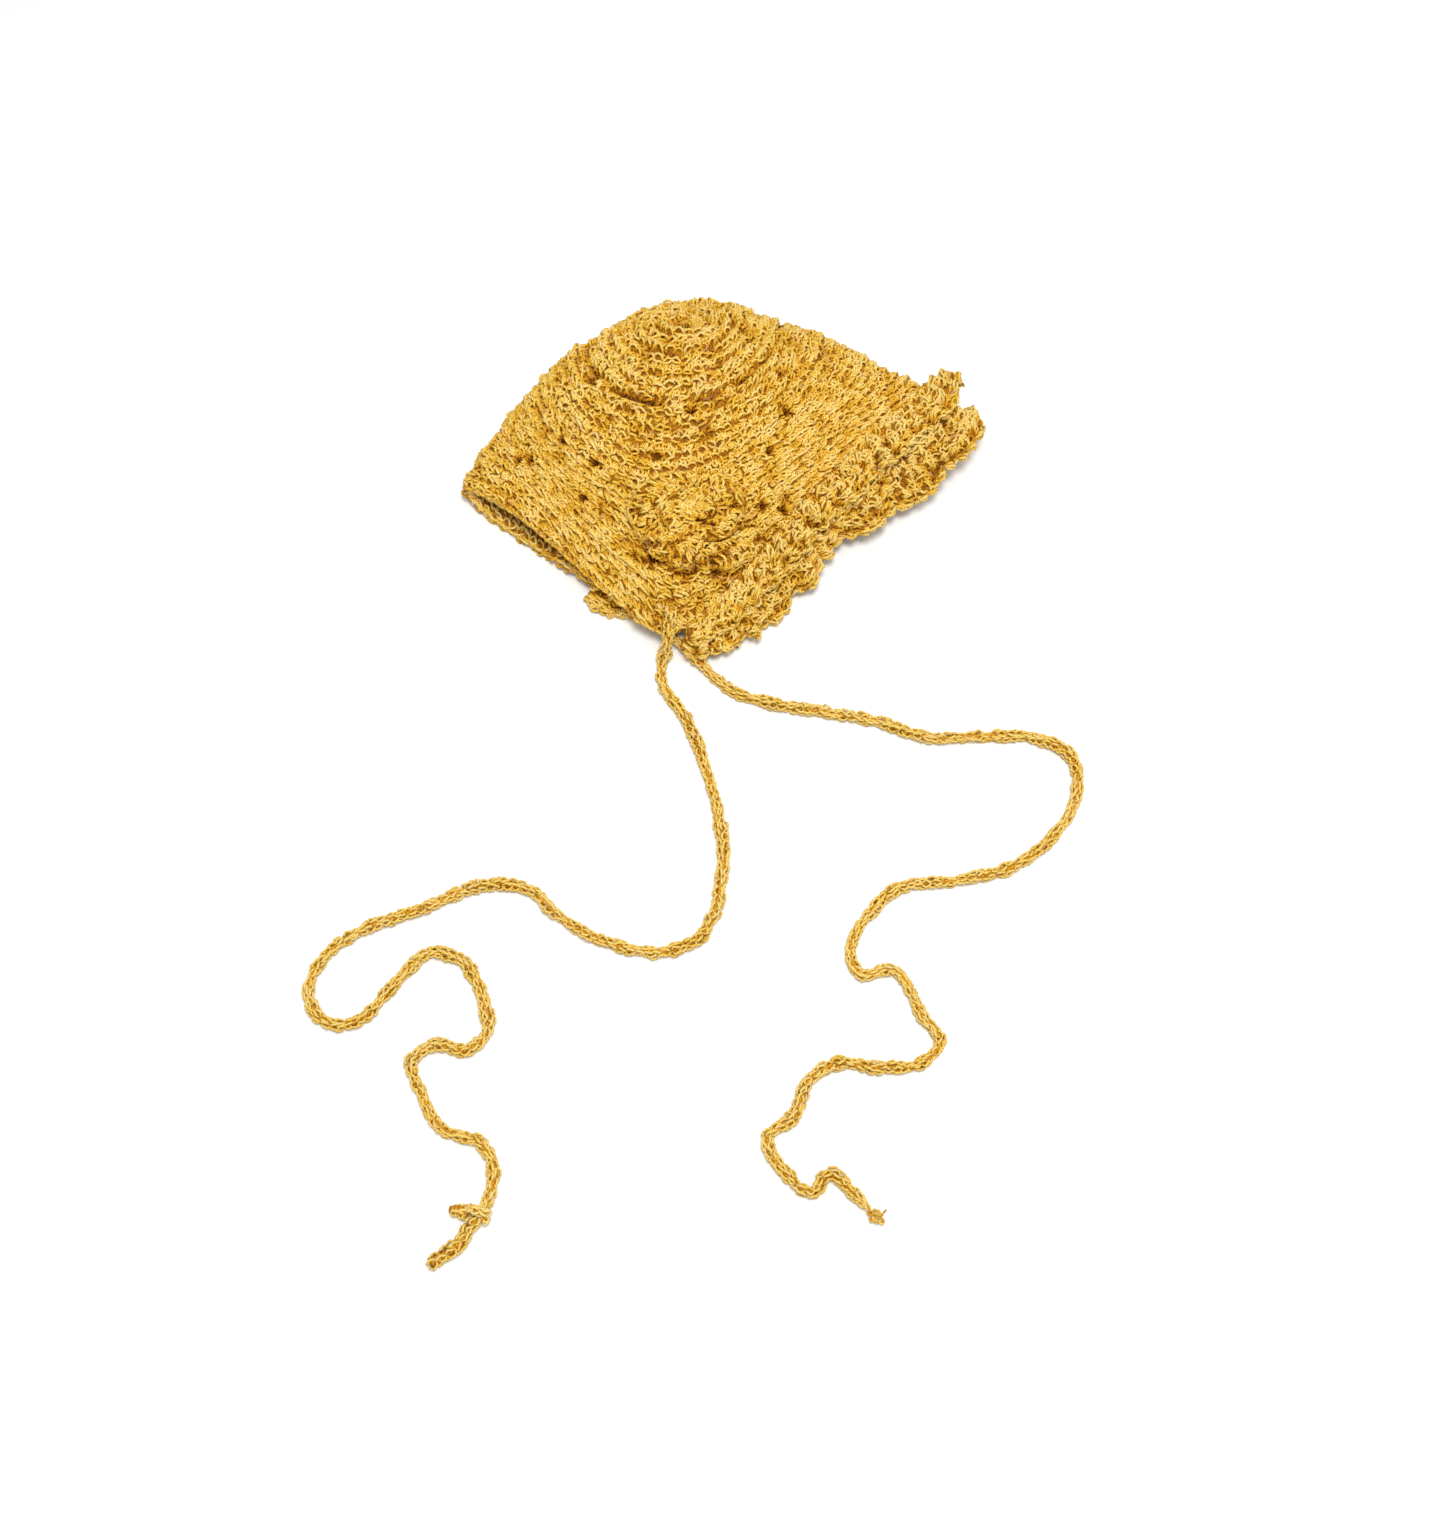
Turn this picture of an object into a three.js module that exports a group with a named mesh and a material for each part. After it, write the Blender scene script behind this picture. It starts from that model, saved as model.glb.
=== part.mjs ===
// A crocheted baby bonnet with a two-tier front frill, a coiled rosette and two ties.
// It lies folded on its side: the wearer's right half is on top, the crown towards +Y and the face towards +X.
// Millimetres, +Z up, resting on Z = 0.
import * as THREE from 'three';

// Driving sizes
const WALL = 3.2;
const GAP = 0.35;
const TIE_DIAMETER = 4.8;
const TIE_SIDES = 10;
const TIE_STEP = 11.8;
const CAP_ROUNDS = 18;
const RING_STEPS = 64;
const NECK_RISE = 6.3;
const FRONT_RISE = 8.5;
const NECK_BOW = 3;
const LIP_BOW = 1.2;
const FRILL_LIFT = 3.7;
const FRILL_THICK = 3;
const FRILL_ROOT_THICK = 1.2;
const FRILL_STATIONS = 88;
const FRILL_FROM = 0.257;
const FRILL_TO = 0.775;
const SCALLOP_PITCH = 13;
const FRILL_SEAT = 0.45;
const LOWER_SCALLOP = { base: 0.86, depth: 0.2, phase: 0.4 };
const UPPER_SCALLOP = { base: 0.88, depth: 0.16, phase: 0 };
const FAR_FRILL_SQUASHED = { from: 0.52, to: 0.58 };
const ROSETTE_STEPS_PER_TURN = 28;
const ROSETTE_SEAT = 0.4;
// The rosette's strip is this share of its full width at its two ends, and full a little way in
const ROSETTE_END_SHARE = 0.45;
const ROSETTE_END_FULLNESS = 5;
const NECK_INWARD = new THREE.Vector3(0.62, 0.78, 0);
const ORIGIN = new THREE.Vector3(0.8, 0.9, 0);

// Where, counted in rounds from the crown, the dome turns flat on the floor, flat on top and straight-edged
const FLOOR_FROM = { from: 0.2, to: 0.4 };
const FLATTER_FROM = { from: 0.1, to: 0.5 };
const STRAIGHT_FROM = { from: 0.35, to: 1 };
const LIFT_FROM = { from: 0.8, to: 0.9 };
// The far front edge is lifted up to this angle of the round, for the squashed frill below it
const LIFT_ENDS = { from: 4.9, to: 5.3 };

// The cap's four meridians, from the crown centre (round 0) to the rim (round 1), on the outer surface
const CAP_ROWS = [
  { round: 0.00, left: [-14.6, 49, 33], near: [-14.6, 49, 33], right: [-14.6, 49, 33], far: [-14.6, 49, 33] },
  { round: 0.10, left: [-25.5, 49.8, 32], near: [-14.6, 40, 39.5], right: [-3.6, 51, 32], far: [-14.6, 60, 25.5] },
  { round: 0.22, left: [-38.5, 50.6, 29], near: [-14.6, 25.5, 43], right: [9.5, 55.5, 29], far: [-14.2, 72, 14] },
  { round: 0.36, left: [-52.8, 48.3, 23.5], near: [-14.7, 8, 42.5], right: [24, 57.5, 25], far: [-13.8, 68, 0] },
  { round: 0.50, left: [-65, 41, 18.5], near: [-15, -9.5, 38.5], right: [38.5, 55, 21], far: [-15, 50, 0] },
  { round: 0.65, left: [-76, 29.3, 14], near: [-15.6, -28, 32], right: [53, 48.7, 17.5], far: [-18, 27, 0] },
  { round: 0.80, left: [-85.5, 16, 10.8], near: [-16.6, -47, 24], right: [67, 40.3, 15], far: [-25, 0, 0] },
  { round: 0.90, left: [-91.2, 6.3, 9.4], near: [-17.4, -58, 17], right: [76, 34.8, 13.5], far: [-31.5, -21, 0] },
  { round: 1.00, left: [-96, -3.7, 8.4], near: [-18.2, -69, 8.8], right: [84.5, 29.5, 12], far: [-37.5, -47, 0] },
];

// The frill along the front edge, from the near ear corner (0) over the forehead fold (0.5) to the far one (1)
const FRILL_ROWS = [
  { at: 0.00, upperRoot: 0.985, upperWidth: 6, upperRise: 1.6, lowerWidth: 8, lowerDrop: -2.2, ruffle: 0.5 },
  { at: 0.06, upperRoot: 0.975, upperWidth: 10, upperRise: 1.6, lowerWidth: 16, lowerDrop: -5.0, ruffle: 1.4 },
  { at: 0.12, upperRoot: 0.955, upperWidth: 11, upperRise: 1.4, lowerWidth: 17.5, lowerDrop: -8.5, ruffle: 1.8 },
  { at: 0.17, upperRoot: 0.935, upperWidth: 11, upperRise: 1.0, lowerWidth: 15.5, lowerDrop: -9.0, ruffle: 1.8 },
  { at: 0.22, upperRoot: 0.920, upperWidth: 10, upperRise: 1.0, lowerWidth: 11, lowerDrop: -7.0, ruffle: 1.5 },
  { at: 0.27, upperRoot: 0.910, upperWidth: 11, upperRise: 1.0, lowerWidth: 14, lowerDrop: -8.5, ruffle: 1.6 },
  { at: 0.33, upperRoot: 0.905, upperWidth: 11, upperRise: 1.0, lowerWidth: 18.5, lowerDrop: -7.0, ruffle: 1.8 },
  { at: 0.39, upperRoot: 0.905, upperWidth: 12, upperRise: 1.6, lowerWidth: 19.5, lowerDrop: -3.0, ruffle: 1.3 },
  { at: 0.44, upperRoot: 0.900, upperWidth: 12, upperRise: 4.5, lowerWidth: 17.5, lowerDrop: -0.5, ruffle: 0.8 },
  { at: 0.48, upperRoot: 0.890, upperWidth: 5.5, upperRise: 8.5, lowerWidth: 14, lowerDrop: -0.3, ruffle: 0.4 },
  { at: 0.51, upperRoot: 0.890, upperWidth: 8, upperRise: 6.0, lowerWidth: 15, lowerDrop: -1.0, ruffle: 0.2 },
  { at: 0.55, upperRoot: 0.910, upperWidth: 10, upperRise: 0.6, lowerWidth: 15, lowerDrop: -2.0, ruffle: 0.0 },
  { at: 0.62, upperRoot: 0.920, upperWidth: 9, upperRise: 0.0, lowerWidth: 14, lowerDrop: -3.4, ruffle: 0.0 },
  { at: 0.92, upperRoot: 0.930, upperWidth: 9, upperRise: 0.0, lowerWidth: 12.5, lowerDrop: -3.4, ruffle: 0.0 },
  { at: 1.00, upperRoot: 0.950, upperWidth: 7, upperRise: 0.0, lowerWidth: 5, lowerDrop: -3.4, ruffle: 0.0 },
];

// The rosette is one puffed, scalloped strip coiled flat on the near side
const ROSETTE = {
  centre: [-10, -27.5], turns: 2.15, startRadius: 1.8, pitch: 8.6, squash: 0.68, seam: 0.4,
  innerHeight: 5.6, outerHeight: 4.4, petalsPerTurn: 3.4, petalPhase: 1.04, petalDip: 0.5, petalReach: 3.6,
  endAngle: -10,
};
// The strip's cross-section: across as shares of half its width from inside to outside, up as shares of its height
const ROSETTE_SECTION = [
  { across: -1.00, up: 0.00 },
  { across: -0.85, up: 0.45 },
  { across: -0.35, up: 0.86 },
  { across: 0.25, up: 1.00 },
  { across: 0.80, up: 0.80 },
  { across: 1.00, up: 0.35 },
  { across: 0.90, up: 0.00 },
  { across: 0.00, up: 0.00 },
];

// Centre lines of the two ties, placed by hand from the ear corners to the loose ends
const NEAR_TIE = [
  [-18.3, -56.9, 18.1], [-18.7, -61.5, 14.4], [-19.8, -65.9, 10.7], [-20.6, -69, 5.4], [-22.2, -73.9, 2.6],
  [-21, -81.6, 2.5], [-14.9, -90.4, 2.5], [-8.1, -105.1, 2.5], [-2.1, -127.4, 2.5], [0, -147.2, 2.5],
  [-3.8, -166, 2.5], [-11.2, -175, 2.5], [-24.6, -177.8, 2.5], [-41.6, -173.6, 2.5], [-55.4, -165.6, 2.5],
  [-65.9, -156.1, 2.5], [-82.7, -154.4, 2.5], [-97.7, -160.7, 2.5], [-110.3, -165.6, 2.5],
  [-124.2, -171.2, 2.5], [-134.9, -180.5, 2.5], [-138.7, -191.8, 2.5], [-132.6, -201.5, 2.5],
  [-121.3, -201.2, 2.5], [-109.5, -188, 2.5], [-99.1, -178.1, 2.5], [-87.8, -180.9, 2.5],
  [-80.5, -192.8, 2.5], [-78.6, -204.9, 2.5], [-84.9, -210.9, 2.5], [-95.6, -209.2, 2.5],
  [-102.8, -214.8, 2.5], [-98.9, -224.7, 2.5], [-91.4, -236.9, 2.5], [-80.2, -240.1, 2.5],
  [-74.3, -248.4, 2.5], [-75.4, -259.1, 2.5], [-80.7, -267.8, 2.5], [-86.1, -274.5, 2.5],
  [-94.7, -279.7, 2.5],
];
const FAR_TIE = [
  [-19.7, -60.7, 3.6], [-11.5, -68.4, 3.1], [-4.7, -75.4, 2.5], [3.2, -82.7, 2.5], [16, -86.9, 2.5],
  [34, -90.4, 2.5], [55.5, -94.6, 2.5], [72.9, -100.6, 2.5], [92.3, -99.9, 2.5], [111.7, -101, 2.5],
  [122.4, -108.1, 2.5], [122.8, -123, 2.5], [114.6, -136.1, 2.5], [100.8, -147.2, 2.5], [81, -152.6, 2.5],
  [60.4, -155.1, 2.5], [48.5, -166, 2.5], [42.7, -177.1, 2.5], [46.5, -185.7, 2.5], [56.7, -183.6, 2.5],
  [62.8, -191.4, 2.5], [66.7, -200.2, 2.5], [72.1, -207.6, 2.5], [65.5, -215.2, 2.5], [50.9, -216.8, 2.5],
  [37.8, -215.2, 2.5], [27.2, -222.1, 2.5], [23.1, -232.8, 2.5], [14.2, -239.5, 2.5], [19.6, -250.3, 2.5],
  [28.5, -256.6, 2.5], [34.1, -250.9, 2.5], [42.9, -257.8, 2.5], [47.5, -263.7, 2.5],
];

// What shows at the loose ends: the stub of the near tie's knot and the far tie's tuft
const STUB = { from: [-81.6, -263, 2.4], to: [-88, -262, 2.3], startDiameter: 4.2, endDiameter: 3.4 };
const TUFT = { from: [47.8, -264.1, 2.5], to: [50, -266.6, 2.6], startDiameter: 3.4, endDiameter: 4.8 };
const UP_Y = new THREE.Vector3(0, 1, 0);

// Goes smoothly from 0 to 1 over a stated stretch
function fade(stretch, value) {
  const t = THREE.MathUtils.clamp((value - stretch.from) / (stretch.to - stretch.from), 0, 1);
  return t * t * (3 - 2 * t);
}

// One column of a table, read between its rows with a smooth curve
function readTable(rows, key, column, at) {
  const get = (row) => (Array.isArray(row[column]) ? row[column] : [row[column]]);
  let i = rows.findIndex((row) => row[key] > at) - 1;
  if (i < 0) i = at <= rows[0][key] ? 0 : rows.length - 2;
  const size = get(rows[0]).length;
  const slope = (j, axis) => {
    const step = (k) => (get(rows[k + 1])[axis] - get(rows[k])[axis]) / (rows[k + 1][key] - rows[k][key]);
    if (j === 0) return step(0);
    if (j === rows.length - 1) return step(j - 1);
    const before = rows[j][key] - rows[j - 1][key];
    const after = rows[j + 1][key] - rows[j][key];
    return (after * step(j - 1) + before * step(j)) / (before + after);
  };
  const h = rows[i + 1][key] - rows[i][key];
  const t = (at - rows[i][key]) / h;
  const values = [];
  for (let axis = 0; axis < size; axis += 1) {
    const start = get(rows[i])[axis];
    const end = get(rows[i + 1])[axis];
    values.push(
      (2 * t ** 3 - 3 * t ** 2 + 1) * start + (t ** 3 - 2 * t ** 2 + t) * h * slope(i, axis)
      + (3 * t ** 2 - 2 * t ** 3) * end + (t ** 3 - t ** 2) * h * slope(i + 1, axis),
    );
  }
  return values;
}

function capMeridian(name, round) {
  return new THREE.Vector3(...readTable(CAP_ROWS, 'round', name, round));
}

// A point of one crocheted round: angle 0 is the nape fold, PI the forehead fold, the near half lies between
function roundPoint(anchors, round, angle) {
  const isNear = angle <= Math.PI;
  const middle = isNear ? anchors.near : anchors.far;
  const centre = anchors.left.clone().add(anchors.right).multiplyScalar(0.5);
  const halfSpan = anchors.right.clone().sub(anchors.left).multiplyScalar(0.5);
  const across = Math.cos(angle);
  const out = Math.abs(Math.sin(angle));
  const share = (1 - across) / 2;
  const straight = fade(STRAIGHT_FROM, round);
  const curved = centre.clone().addScaledVector(halfSpan, -across);
  curved.addScaledVector(middle.clone().sub(centre), out);
  const cornered = share < 0.5
    ? anchors.left.clone().lerp(middle, 2 * share)
    : middle.clone().lerp(anchors.right, 2 * share - 1);
  const point = curved.clone().lerp(cornered, straight);
  const foldHeight = THREE.MathUtils.lerp(anchors.left.z, anchors.right.z, share);
  const flatness = fade(FLATTER_FROM, round);
  if (isNear) {
    const puffed = foldHeight + (middle.z - centre.z) * out ** (1 - 0.25 * flatness);
    const rise = share < 0.5 ? NECK_RISE : FRONT_RISE;
    const rim = cornered.z + rise * Math.abs(Math.sin(2 * angle));
    point.z = THREE.MathUtils.lerp(puffed, rim, straight);
  } else {
    const reach = THREE.MathUtils.lerp(1, 1.25, flatness);
    const lift = FRILL_LIFT * fade(LIFT_FROM, round) * (1 - fade(LIFT_ENDS, angle));
    const sunk = foldHeight + (middle.z - centre.z) * out;
    const flat = foldHeight * (1 - reach * out ** 0.5);
    point.z = Math.max(THREE.MathUtils.lerp(sunk, flat, fade(FLOOR_FROM, round)), lift);
  }
  if (share < 0.5) {
    const bow = (isNear ? NECK_BOW : -LIP_BOW) * straight * Math.sin(2 * angle) ** 2;
    point.addScaledVector(NECK_INWARD, bow);
  }
  return point;
}

// One closed round of the cap's outer surface, softened where it turns at the folds
function capRound(round, steps) {
  const anchors = {};
  for (const name of ['left', 'near', 'right', 'far']) anchors[name] = capMeridian(name, round);
  let ring = [];
  for (let k = 0; k < steps; k += 1) ring.push(roundPoint(anchors, round, (2 * Math.PI * k) / steps));
  for (let pass = 0; pass < steps / 32; pass += 1) {
    ring = ring.map((point, k) => {
      const ahead = ring[(k + 1) % steps];
      const behind = ring[(k + steps - 1) % steps];
      return point.clone().multiplyScalar(0.5).addScaledVector(ahead, 0.25).addScaledVector(behind, 0.25);
    });
  }
  return ring;
}

// The direction that points out of the cloth, from the round's run and its growth away from the crown
function clothNormal(run, growth) {
  return growth.clone().cross(run).normalize();
}

function makeMesh(name, points, triangles, material) {
  const geometry = new THREE.BufferGeometry();
  const shifted = points.map((point) => point.clone().sub(ORIGIN));
  geometry.setFromPoints(shifted);
  let volume = 0;
  for (const [a, b, c] of triangles) {
    volume += shifted[a].dot(new THREE.Vector3().crossVectors(shifted[b], shifted[c]));
  }
  const ordered = volume >= 0 ? triangles : triangles.map(([a, b, c]) => [a, c, b]);
  geometry.setIndex(ordered.flat());
  geometry.computeVertexNormals();
  const mesh = new THREE.Mesh(geometry, material);
  mesh.name = name;
  return mesh;
}

// Joins cross-sections of equal size into one closed solid, with flat ends
function loft(sections) {
  const size = sections[0].length;
  const triangles = [];
  for (let i = 0; i + 1 < sections.length; i += 1) {
    for (let j = 0; j < size; j += 1) {
      const a = i * size + j;
      const b = i * size + ((j + 1) % size);
      triangles.push([a, b, b + size], [a, b + size, a + size]);
    }
  }
  const last = (sections.length - 1) * size;
  for (let j = 1; j + 1 < size; j += 1) {
    triangles.push([0, j + 1, j], [last, last + j, last + j + 1]);
  }
  return { points: sections.flat(), triangles };
}

// The outer surface of the cap as rounds of points, with the crown centre apart
function capOuter() {
  const rounds = [];
  for (let i = 1; i <= CAP_ROUNDS; i += 1) rounds.push(capRound(i / CAP_ROUNDS, RING_STEPS));
  return { crown: capMeridian('near', 0), rounds };
}

// The inner surface, one wall further in
function capInner(outer) {
  const { crown, rounds } = outer;
  const inner = rounds.map((ring, i) => ring.map((point, k) => {
    const run = ring[(k + 1) % RING_STEPS].clone().sub(ring[(k + RING_STEPS - 1) % RING_STEPS]);
    const before = i === 0 ? crown : rounds[i - 1][k];
    const after = i === rounds.length - 1 ? point : rounds[i + 1][k];
    const moved = point.clone().addScaledVector(clothNormal(run, after.clone().sub(before)), -WALL);
    moved.z = Math.max(moved.z, WALL);
    return moved;
  }));
  const crownNormal = clothNormal(
    rounds[0][RING_STEPS / 2].clone().sub(rounds[0][0]),
    rounds[0][RING_STEPS / 4].clone().sub(rounds[0][(3 * RING_STEPS) / 4]),
  );
  return { crown: crown.clone().addScaledVector(crownNormal, -WALL), rounds: inner };
}

// The cap: crown and sides in one hollow wall, open along the neck and the face
function capBody(outer, material) {
  const inner = capInner(outer);
  const points = [outer.crown, ...outer.rounds.flat(), inner.crown, ...inner.rounds.flat()];
  const innerStart = 1 + CAP_ROUNDS * RING_STEPS;
  const triangles = [];
  for (const [start, flip] of [[0, false], [innerStart, true]]) {
    const add = (a, b, c) => triangles.push(flip ? [a, c, b] : [a, b, c]);
    const index = (i, k) => start + 1 + i * RING_STEPS + (k % RING_STEPS);
    for (let k = 0; k < RING_STEPS; k += 1) {
      add(start, index(0, k + 1), index(0, k));
      for (let i = 0; i + 1 < CAP_ROUNDS; i += 1) {
        add(index(i, k), index(i, k + 1), index(i + 1, k + 1));
        add(index(i, k), index(i + 1, k + 1), index(i + 1, k));
      }
    }
  }
  const rim = (start, k) => start + 1 + (CAP_ROUNDS - 1) * RING_STEPS + (k % RING_STEPS);
  for (let k = 0; k < RING_STEPS; k += 1) {
    triangles.push([rim(0, k), rim(0, k + 1), rim(innerStart, k + 1)]);
    triangles.push([rim(0, k), rim(innerStart, k + 1), rim(innerStart, k)]);
  }
  return makeMesh('cap_body', points, triangles, material);
}

// A point of the cap's faceted outer surface, at a share of the rounds and a fraction of a turn
function capPoint(outer, round, turn) {
  const i = Math.min(Math.floor(round * CAP_ROUNDS) - 1, CAP_ROUNDS - 2);
  const k = Math.floor(turn * RING_STEPS);
  const along = turn * RING_STEPS - k;
  const onRing = (ring) => ring[k % RING_STEPS].clone().lerp(ring[(k + 1) % RING_STEPS], along);
  return onRing(outer.rounds[i]).lerp(onRing(outer.rounds[i + 1]), round * CAP_ROUNDS - 1 - i);
}

// Stations along the front edge, with the edge's own directions, from one ear corner to the other
function frontStations(outer) {
  const steps = 600;
  const turns = [];
  const lengths = [];
  for (let i = 0; i <= steps; i += 1) {
    turns.push(THREE.MathUtils.lerp(FRILL_FROM, FRILL_TO, i / steps));
    const step = i ? capPoint(outer, 1, turns[i]).distanceTo(capPoint(outer, 1, turns[i - 1])) : 0;
    lengths.push((lengths.at(-1) ?? 0) + step);
  }
  const stations = [];
  for (let i = 0; i <= FRILL_STATIONS; i += 1) {
    const run = (lengths.at(-1) * i) / FRILL_STATIONS;
    const turn = turns[lengths.findIndex((length) => length >= run - 1e-6)];
    const edge = capPoint(outer, 1, turn);
    const along = capPoint(outer, 1, turn + 0.008).sub(capPoint(outer, 1, turn - 0.008));
    const growth = edge.clone().sub(capPoint(outer, 0.92, turn)).normalize();
    const outward = clothNormal(along, growth);
    const flatGrowth = growth.clone().setZ(0).normalize();
    stations.push({ at: i / FRILL_STATIONS, run, turn, edge, growth, flatGrowth, outward });
  }
  return stations;
}

// A ruffled strip with a scalloped free edge, thick enough for its yarn
function frillStrip(name, stations, place, material) {
  const shares = [0, 0.5, 1];
  const sections = stations.map((station) => {
    const top = shares.map((share) => place(station, share, 1));
    const bottom = shares.map((share) => place(station, share, -1)).reverse();
    return [...top, ...bottom];
  });
  const { points, triangles } = loft(sections);
  return makeMesh(name, points, triangles, material);
}

function lobe(run, phase) {
  return Math.abs(Math.sin((Math.PI * run) / SCALLOP_PITCH + phase));
}

// The width of a frill as a share of the table's, with its lobes
function scallop(run, shape) {
  return shape.base + shape.depth * lobe(run, shape.phase);
}

function frillValue(column, at) {
  return readTable(FRILL_ROWS, 'at', column, at)[0];
}

// The lower tier carries on from the cap's front edge
function lowerFrill(outer, material) {
  const place = (station, share, side) => {
    const wave = Math.sin((Math.PI * station.run) / SCALLOP_PITCH) * frillValue('ruffle', station.at);
    const width = frillValue('lowerWidth', station.at) * scallop(station.run, LOWER_SCALLOP);
    const point = station.edge.clone().addScaledVector(station.outward, -WALL / 2);
    point.addScaledVector(station.flatGrowth, 2 * GAP + width * share);
    point.addScaledVector(station.outward, (side * FRILL_THICK) / 2 + wave * share);
    point.z += frillValue('lowerDrop', station.at) * share ** 1.2;
    point.z = Math.max(point.z, side * station.outward.z > 0 ? FRILL_THICK : 0);
    return point;
  };
  return frillStrip('frill_lower', frontStations(outer), place, material);
}

// The upper tier is worked on the last rounds: thin at its root, and standing off the cap at its edge
function upperFrill(outer, material) {
  const place = (station, share, side) => {
    const wave = 0.6 * (1 + lobe(station.run, 0)) * frillValue('ruffle', station.at);
    const rise = (frillValue('upperRise', station.at) + wave) * share;
    const width = frillValue('upperWidth', station.at) * scallop(station.run, UPPER_SCALLOP);
    const point = capPoint(outer, frillValue('upperRoot', station.at), station.turn);
    point.addScaledVector(station.growth, width * share);
    const thick = THREE.MathUtils.lerp(FRILL_ROOT_THICK, FRILL_THICK, Math.min(1, 2 * share));
    point.addScaledVector(station.outward, GAP + FRILL_SEAT + rise + ((1 + side) * thick) / 2);
    const squashed = fade(FAR_FRILL_SQUASHED, station.at);
    point.z = THREE.MathUtils.lerp(Math.max(point.z, 0), side > 0 ? 0 : FRILL_THICK, squashed);
    return point;
  };
  return frillStrip('frill_upper', frontStations(outer), place, material);
}

// Height of the cap's top at a place in plan
function capTop(outer, x, y) {
  let top = 0;
  for (let i = 0; i + 1 < CAP_ROUNDS; i += 1) {
    for (let k = 0; k < RING_STEPS / 2; k += 1) {
      const [a, b] = [outer.rounds[i][k], outer.rounds[i][k + 1]];
      const [c, d] = [outer.rounds[i + 1][k + 1], outer.rounds[i + 1][k]];
      for (const [p, q, r] of [[a, b, c], [a, c, d]]) {
        const area = (q.x - p.x) * (r.y - p.y) - (r.x - p.x) * (q.y - p.y);
        if (Math.abs(area) < 1e-9) continue;
        const u = ((x - p.x) * (r.y - p.y) - (r.x - p.x) * (y - p.y)) / area;
        const v = ((q.x - p.x) * (y - p.y) - (x - p.x) * (q.y - p.y)) / area;
        if (u < 0 || v < 0 || u + v > 1) continue;
        top = Math.max(top, p.z + u * (q.z - p.z) + v * (r.z - p.z));
      }
    }
  }
  return top;
}

// A point over the cap, out along the squashed spiral's radius and up from the cap's surface
function rosettePoint(outer, angle, radius, up) {
  const x = ROSETTE.centre[0] + Math.cos(angle) * radius;
  const y = ROSETTE.centre[1] + Math.sin(angle) * ROSETTE.squash * radius;
  return new THREE.Vector3(x, y, capTop(outer, x, y) + GAP + ROSETTE_SEAT + up);
}

function rosette(outer, material) {
  const steps = Math.round(ROSETTE.turns * ROSETTE_STEPS_PER_TURN);
  const halfWidth = (ROSETTE.pitch - ROSETTE.seam) / 2;
  const sections = [];
  for (let i = 0; i <= steps; i += 1) {
    const share = i / steps;
    const turned = (share - 1) * ROSETTE.turns * 2 * Math.PI;
    const angle = THREE.MathUtils.degToRad(ROSETTE.endAngle) + turned;
    const radius = ROSETTE.startRadius + ROSETTE.pitch * ROSETTE.turns * share;
    const petal = Math.abs(Math.sin((ROSETTE.petalsPerTurn * turned) / 2 + ROSETTE.petalPhase));
    const ends = Math.min(1, Math.sin(Math.PI * share) * ROSETTE_END_FULLNESS + ROSETTE_END_SHARE);
    const full = THREE.MathUtils.lerp(ROSETTE.innerHeight, ROSETTE.outerHeight, share);
    const height = full * (1 - ROSETTE.petalDip * (1 - petal)) * ends;
    const isOuterTurn = -turned < 2 * Math.PI;
    sections.push(ROSETTE_SECTION.map(({ across, up }) => {
      const reach = isOuterTurn && across > 0 ? ROSETTE.petalReach * petal * across : 0;
      return rosettePoint(outer, angle, radius + halfWidth * ends * across + reach, up * height);
    }));
  }
  const { points, triangles } = loft(sections);
  return makeMesh('rosette', points, triangles, material);
}

function circleShape(radius, sides) {
  const corners = [];
  for (let k = 0; k < sides; k += 1) {
    const angle = (2 * Math.PI * k) / sides;
    corners.push(new THREE.Vector2(radius * Math.cos(angle), radius * Math.sin(angle)));
  }
  return new THREE.Shape(corners);
}

// A tie is one round crocheted cord
function tie(name, route, diameter, material) {
  const points = route.map((point) => new THREE.Vector3(...point));
  const path = new THREE.CatmullRomCurve3(points, false, 'centripetal');
  const steps = Math.round(path.getLength() / TIE_STEP);
  const options = { steps, extrudePath: path, bevelEnabled: false };
  const geometry = new THREE.ExtrudeGeometry(circleShape(diameter / 2, TIE_SIDES), options);
  geometry.translate(-ORIGIN.x, -ORIGIN.y, -ORIGIN.z);
  const mesh = new THREE.Mesh(geometry, material);
  mesh.name = name;
  return mesh;
}

// The stub that sticks out of the near tie's knot, and the tuft of loose yarn that ends the far tie
function taper(name, from, to, startDiameter, endDiameter, material) {
  const start = new THREE.Vector3(...from);
  const axis = new THREE.Vector3(...to).sub(start);
  const profile = [
    new THREE.Vector2(0, 0),
    new THREE.Vector2(startDiameter / 2, 0),
    new THREE.Vector2(endDiameter / 2, axis.length()),
    new THREE.Vector2(0, axis.length()),
  ];
  const geometry = new THREE.LatheGeometry(profile, TIE_SIDES);
  geometry.applyQuaternion(new THREE.Quaternion().setFromUnitVectors(UP_Y, axis.clone().normalize()));
  geometry.translate(start.x - ORIGIN.x, start.y - ORIGIN.y, start.z - ORIGIN.z);
  const mesh = new THREE.Mesh(geometry, material);
  mesh.name = name;
  return mesh;
}

const yarn = new THREE.MeshStandardMaterial({ color: 0xd3a84d, roughness: 0.55, metalness: 0 });
const cap = capOuter();
const group = new THREE.Group();
group.add(
  capBody(cap, yarn),
  upperFrill(cap, yarn),
  lowerFrill(cap, yarn),
  rosette(cap, yarn),
  tie('tie_near', NEAR_TIE, TIE_DIAMETER, yarn),
  tie('tie_far', FAR_TIE, TIE_DIAMETER, yarn),
  taper('tie_near_stub', STUB.from, STUB.to, STUB.startDiameter, STUB.endDiameter, yarn),
  taper('tie_far_tuft', TUFT.from, TUFT.to, TUFT.startDiameter, TUFT.endDiameter, yarn),
);

export default group;
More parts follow.
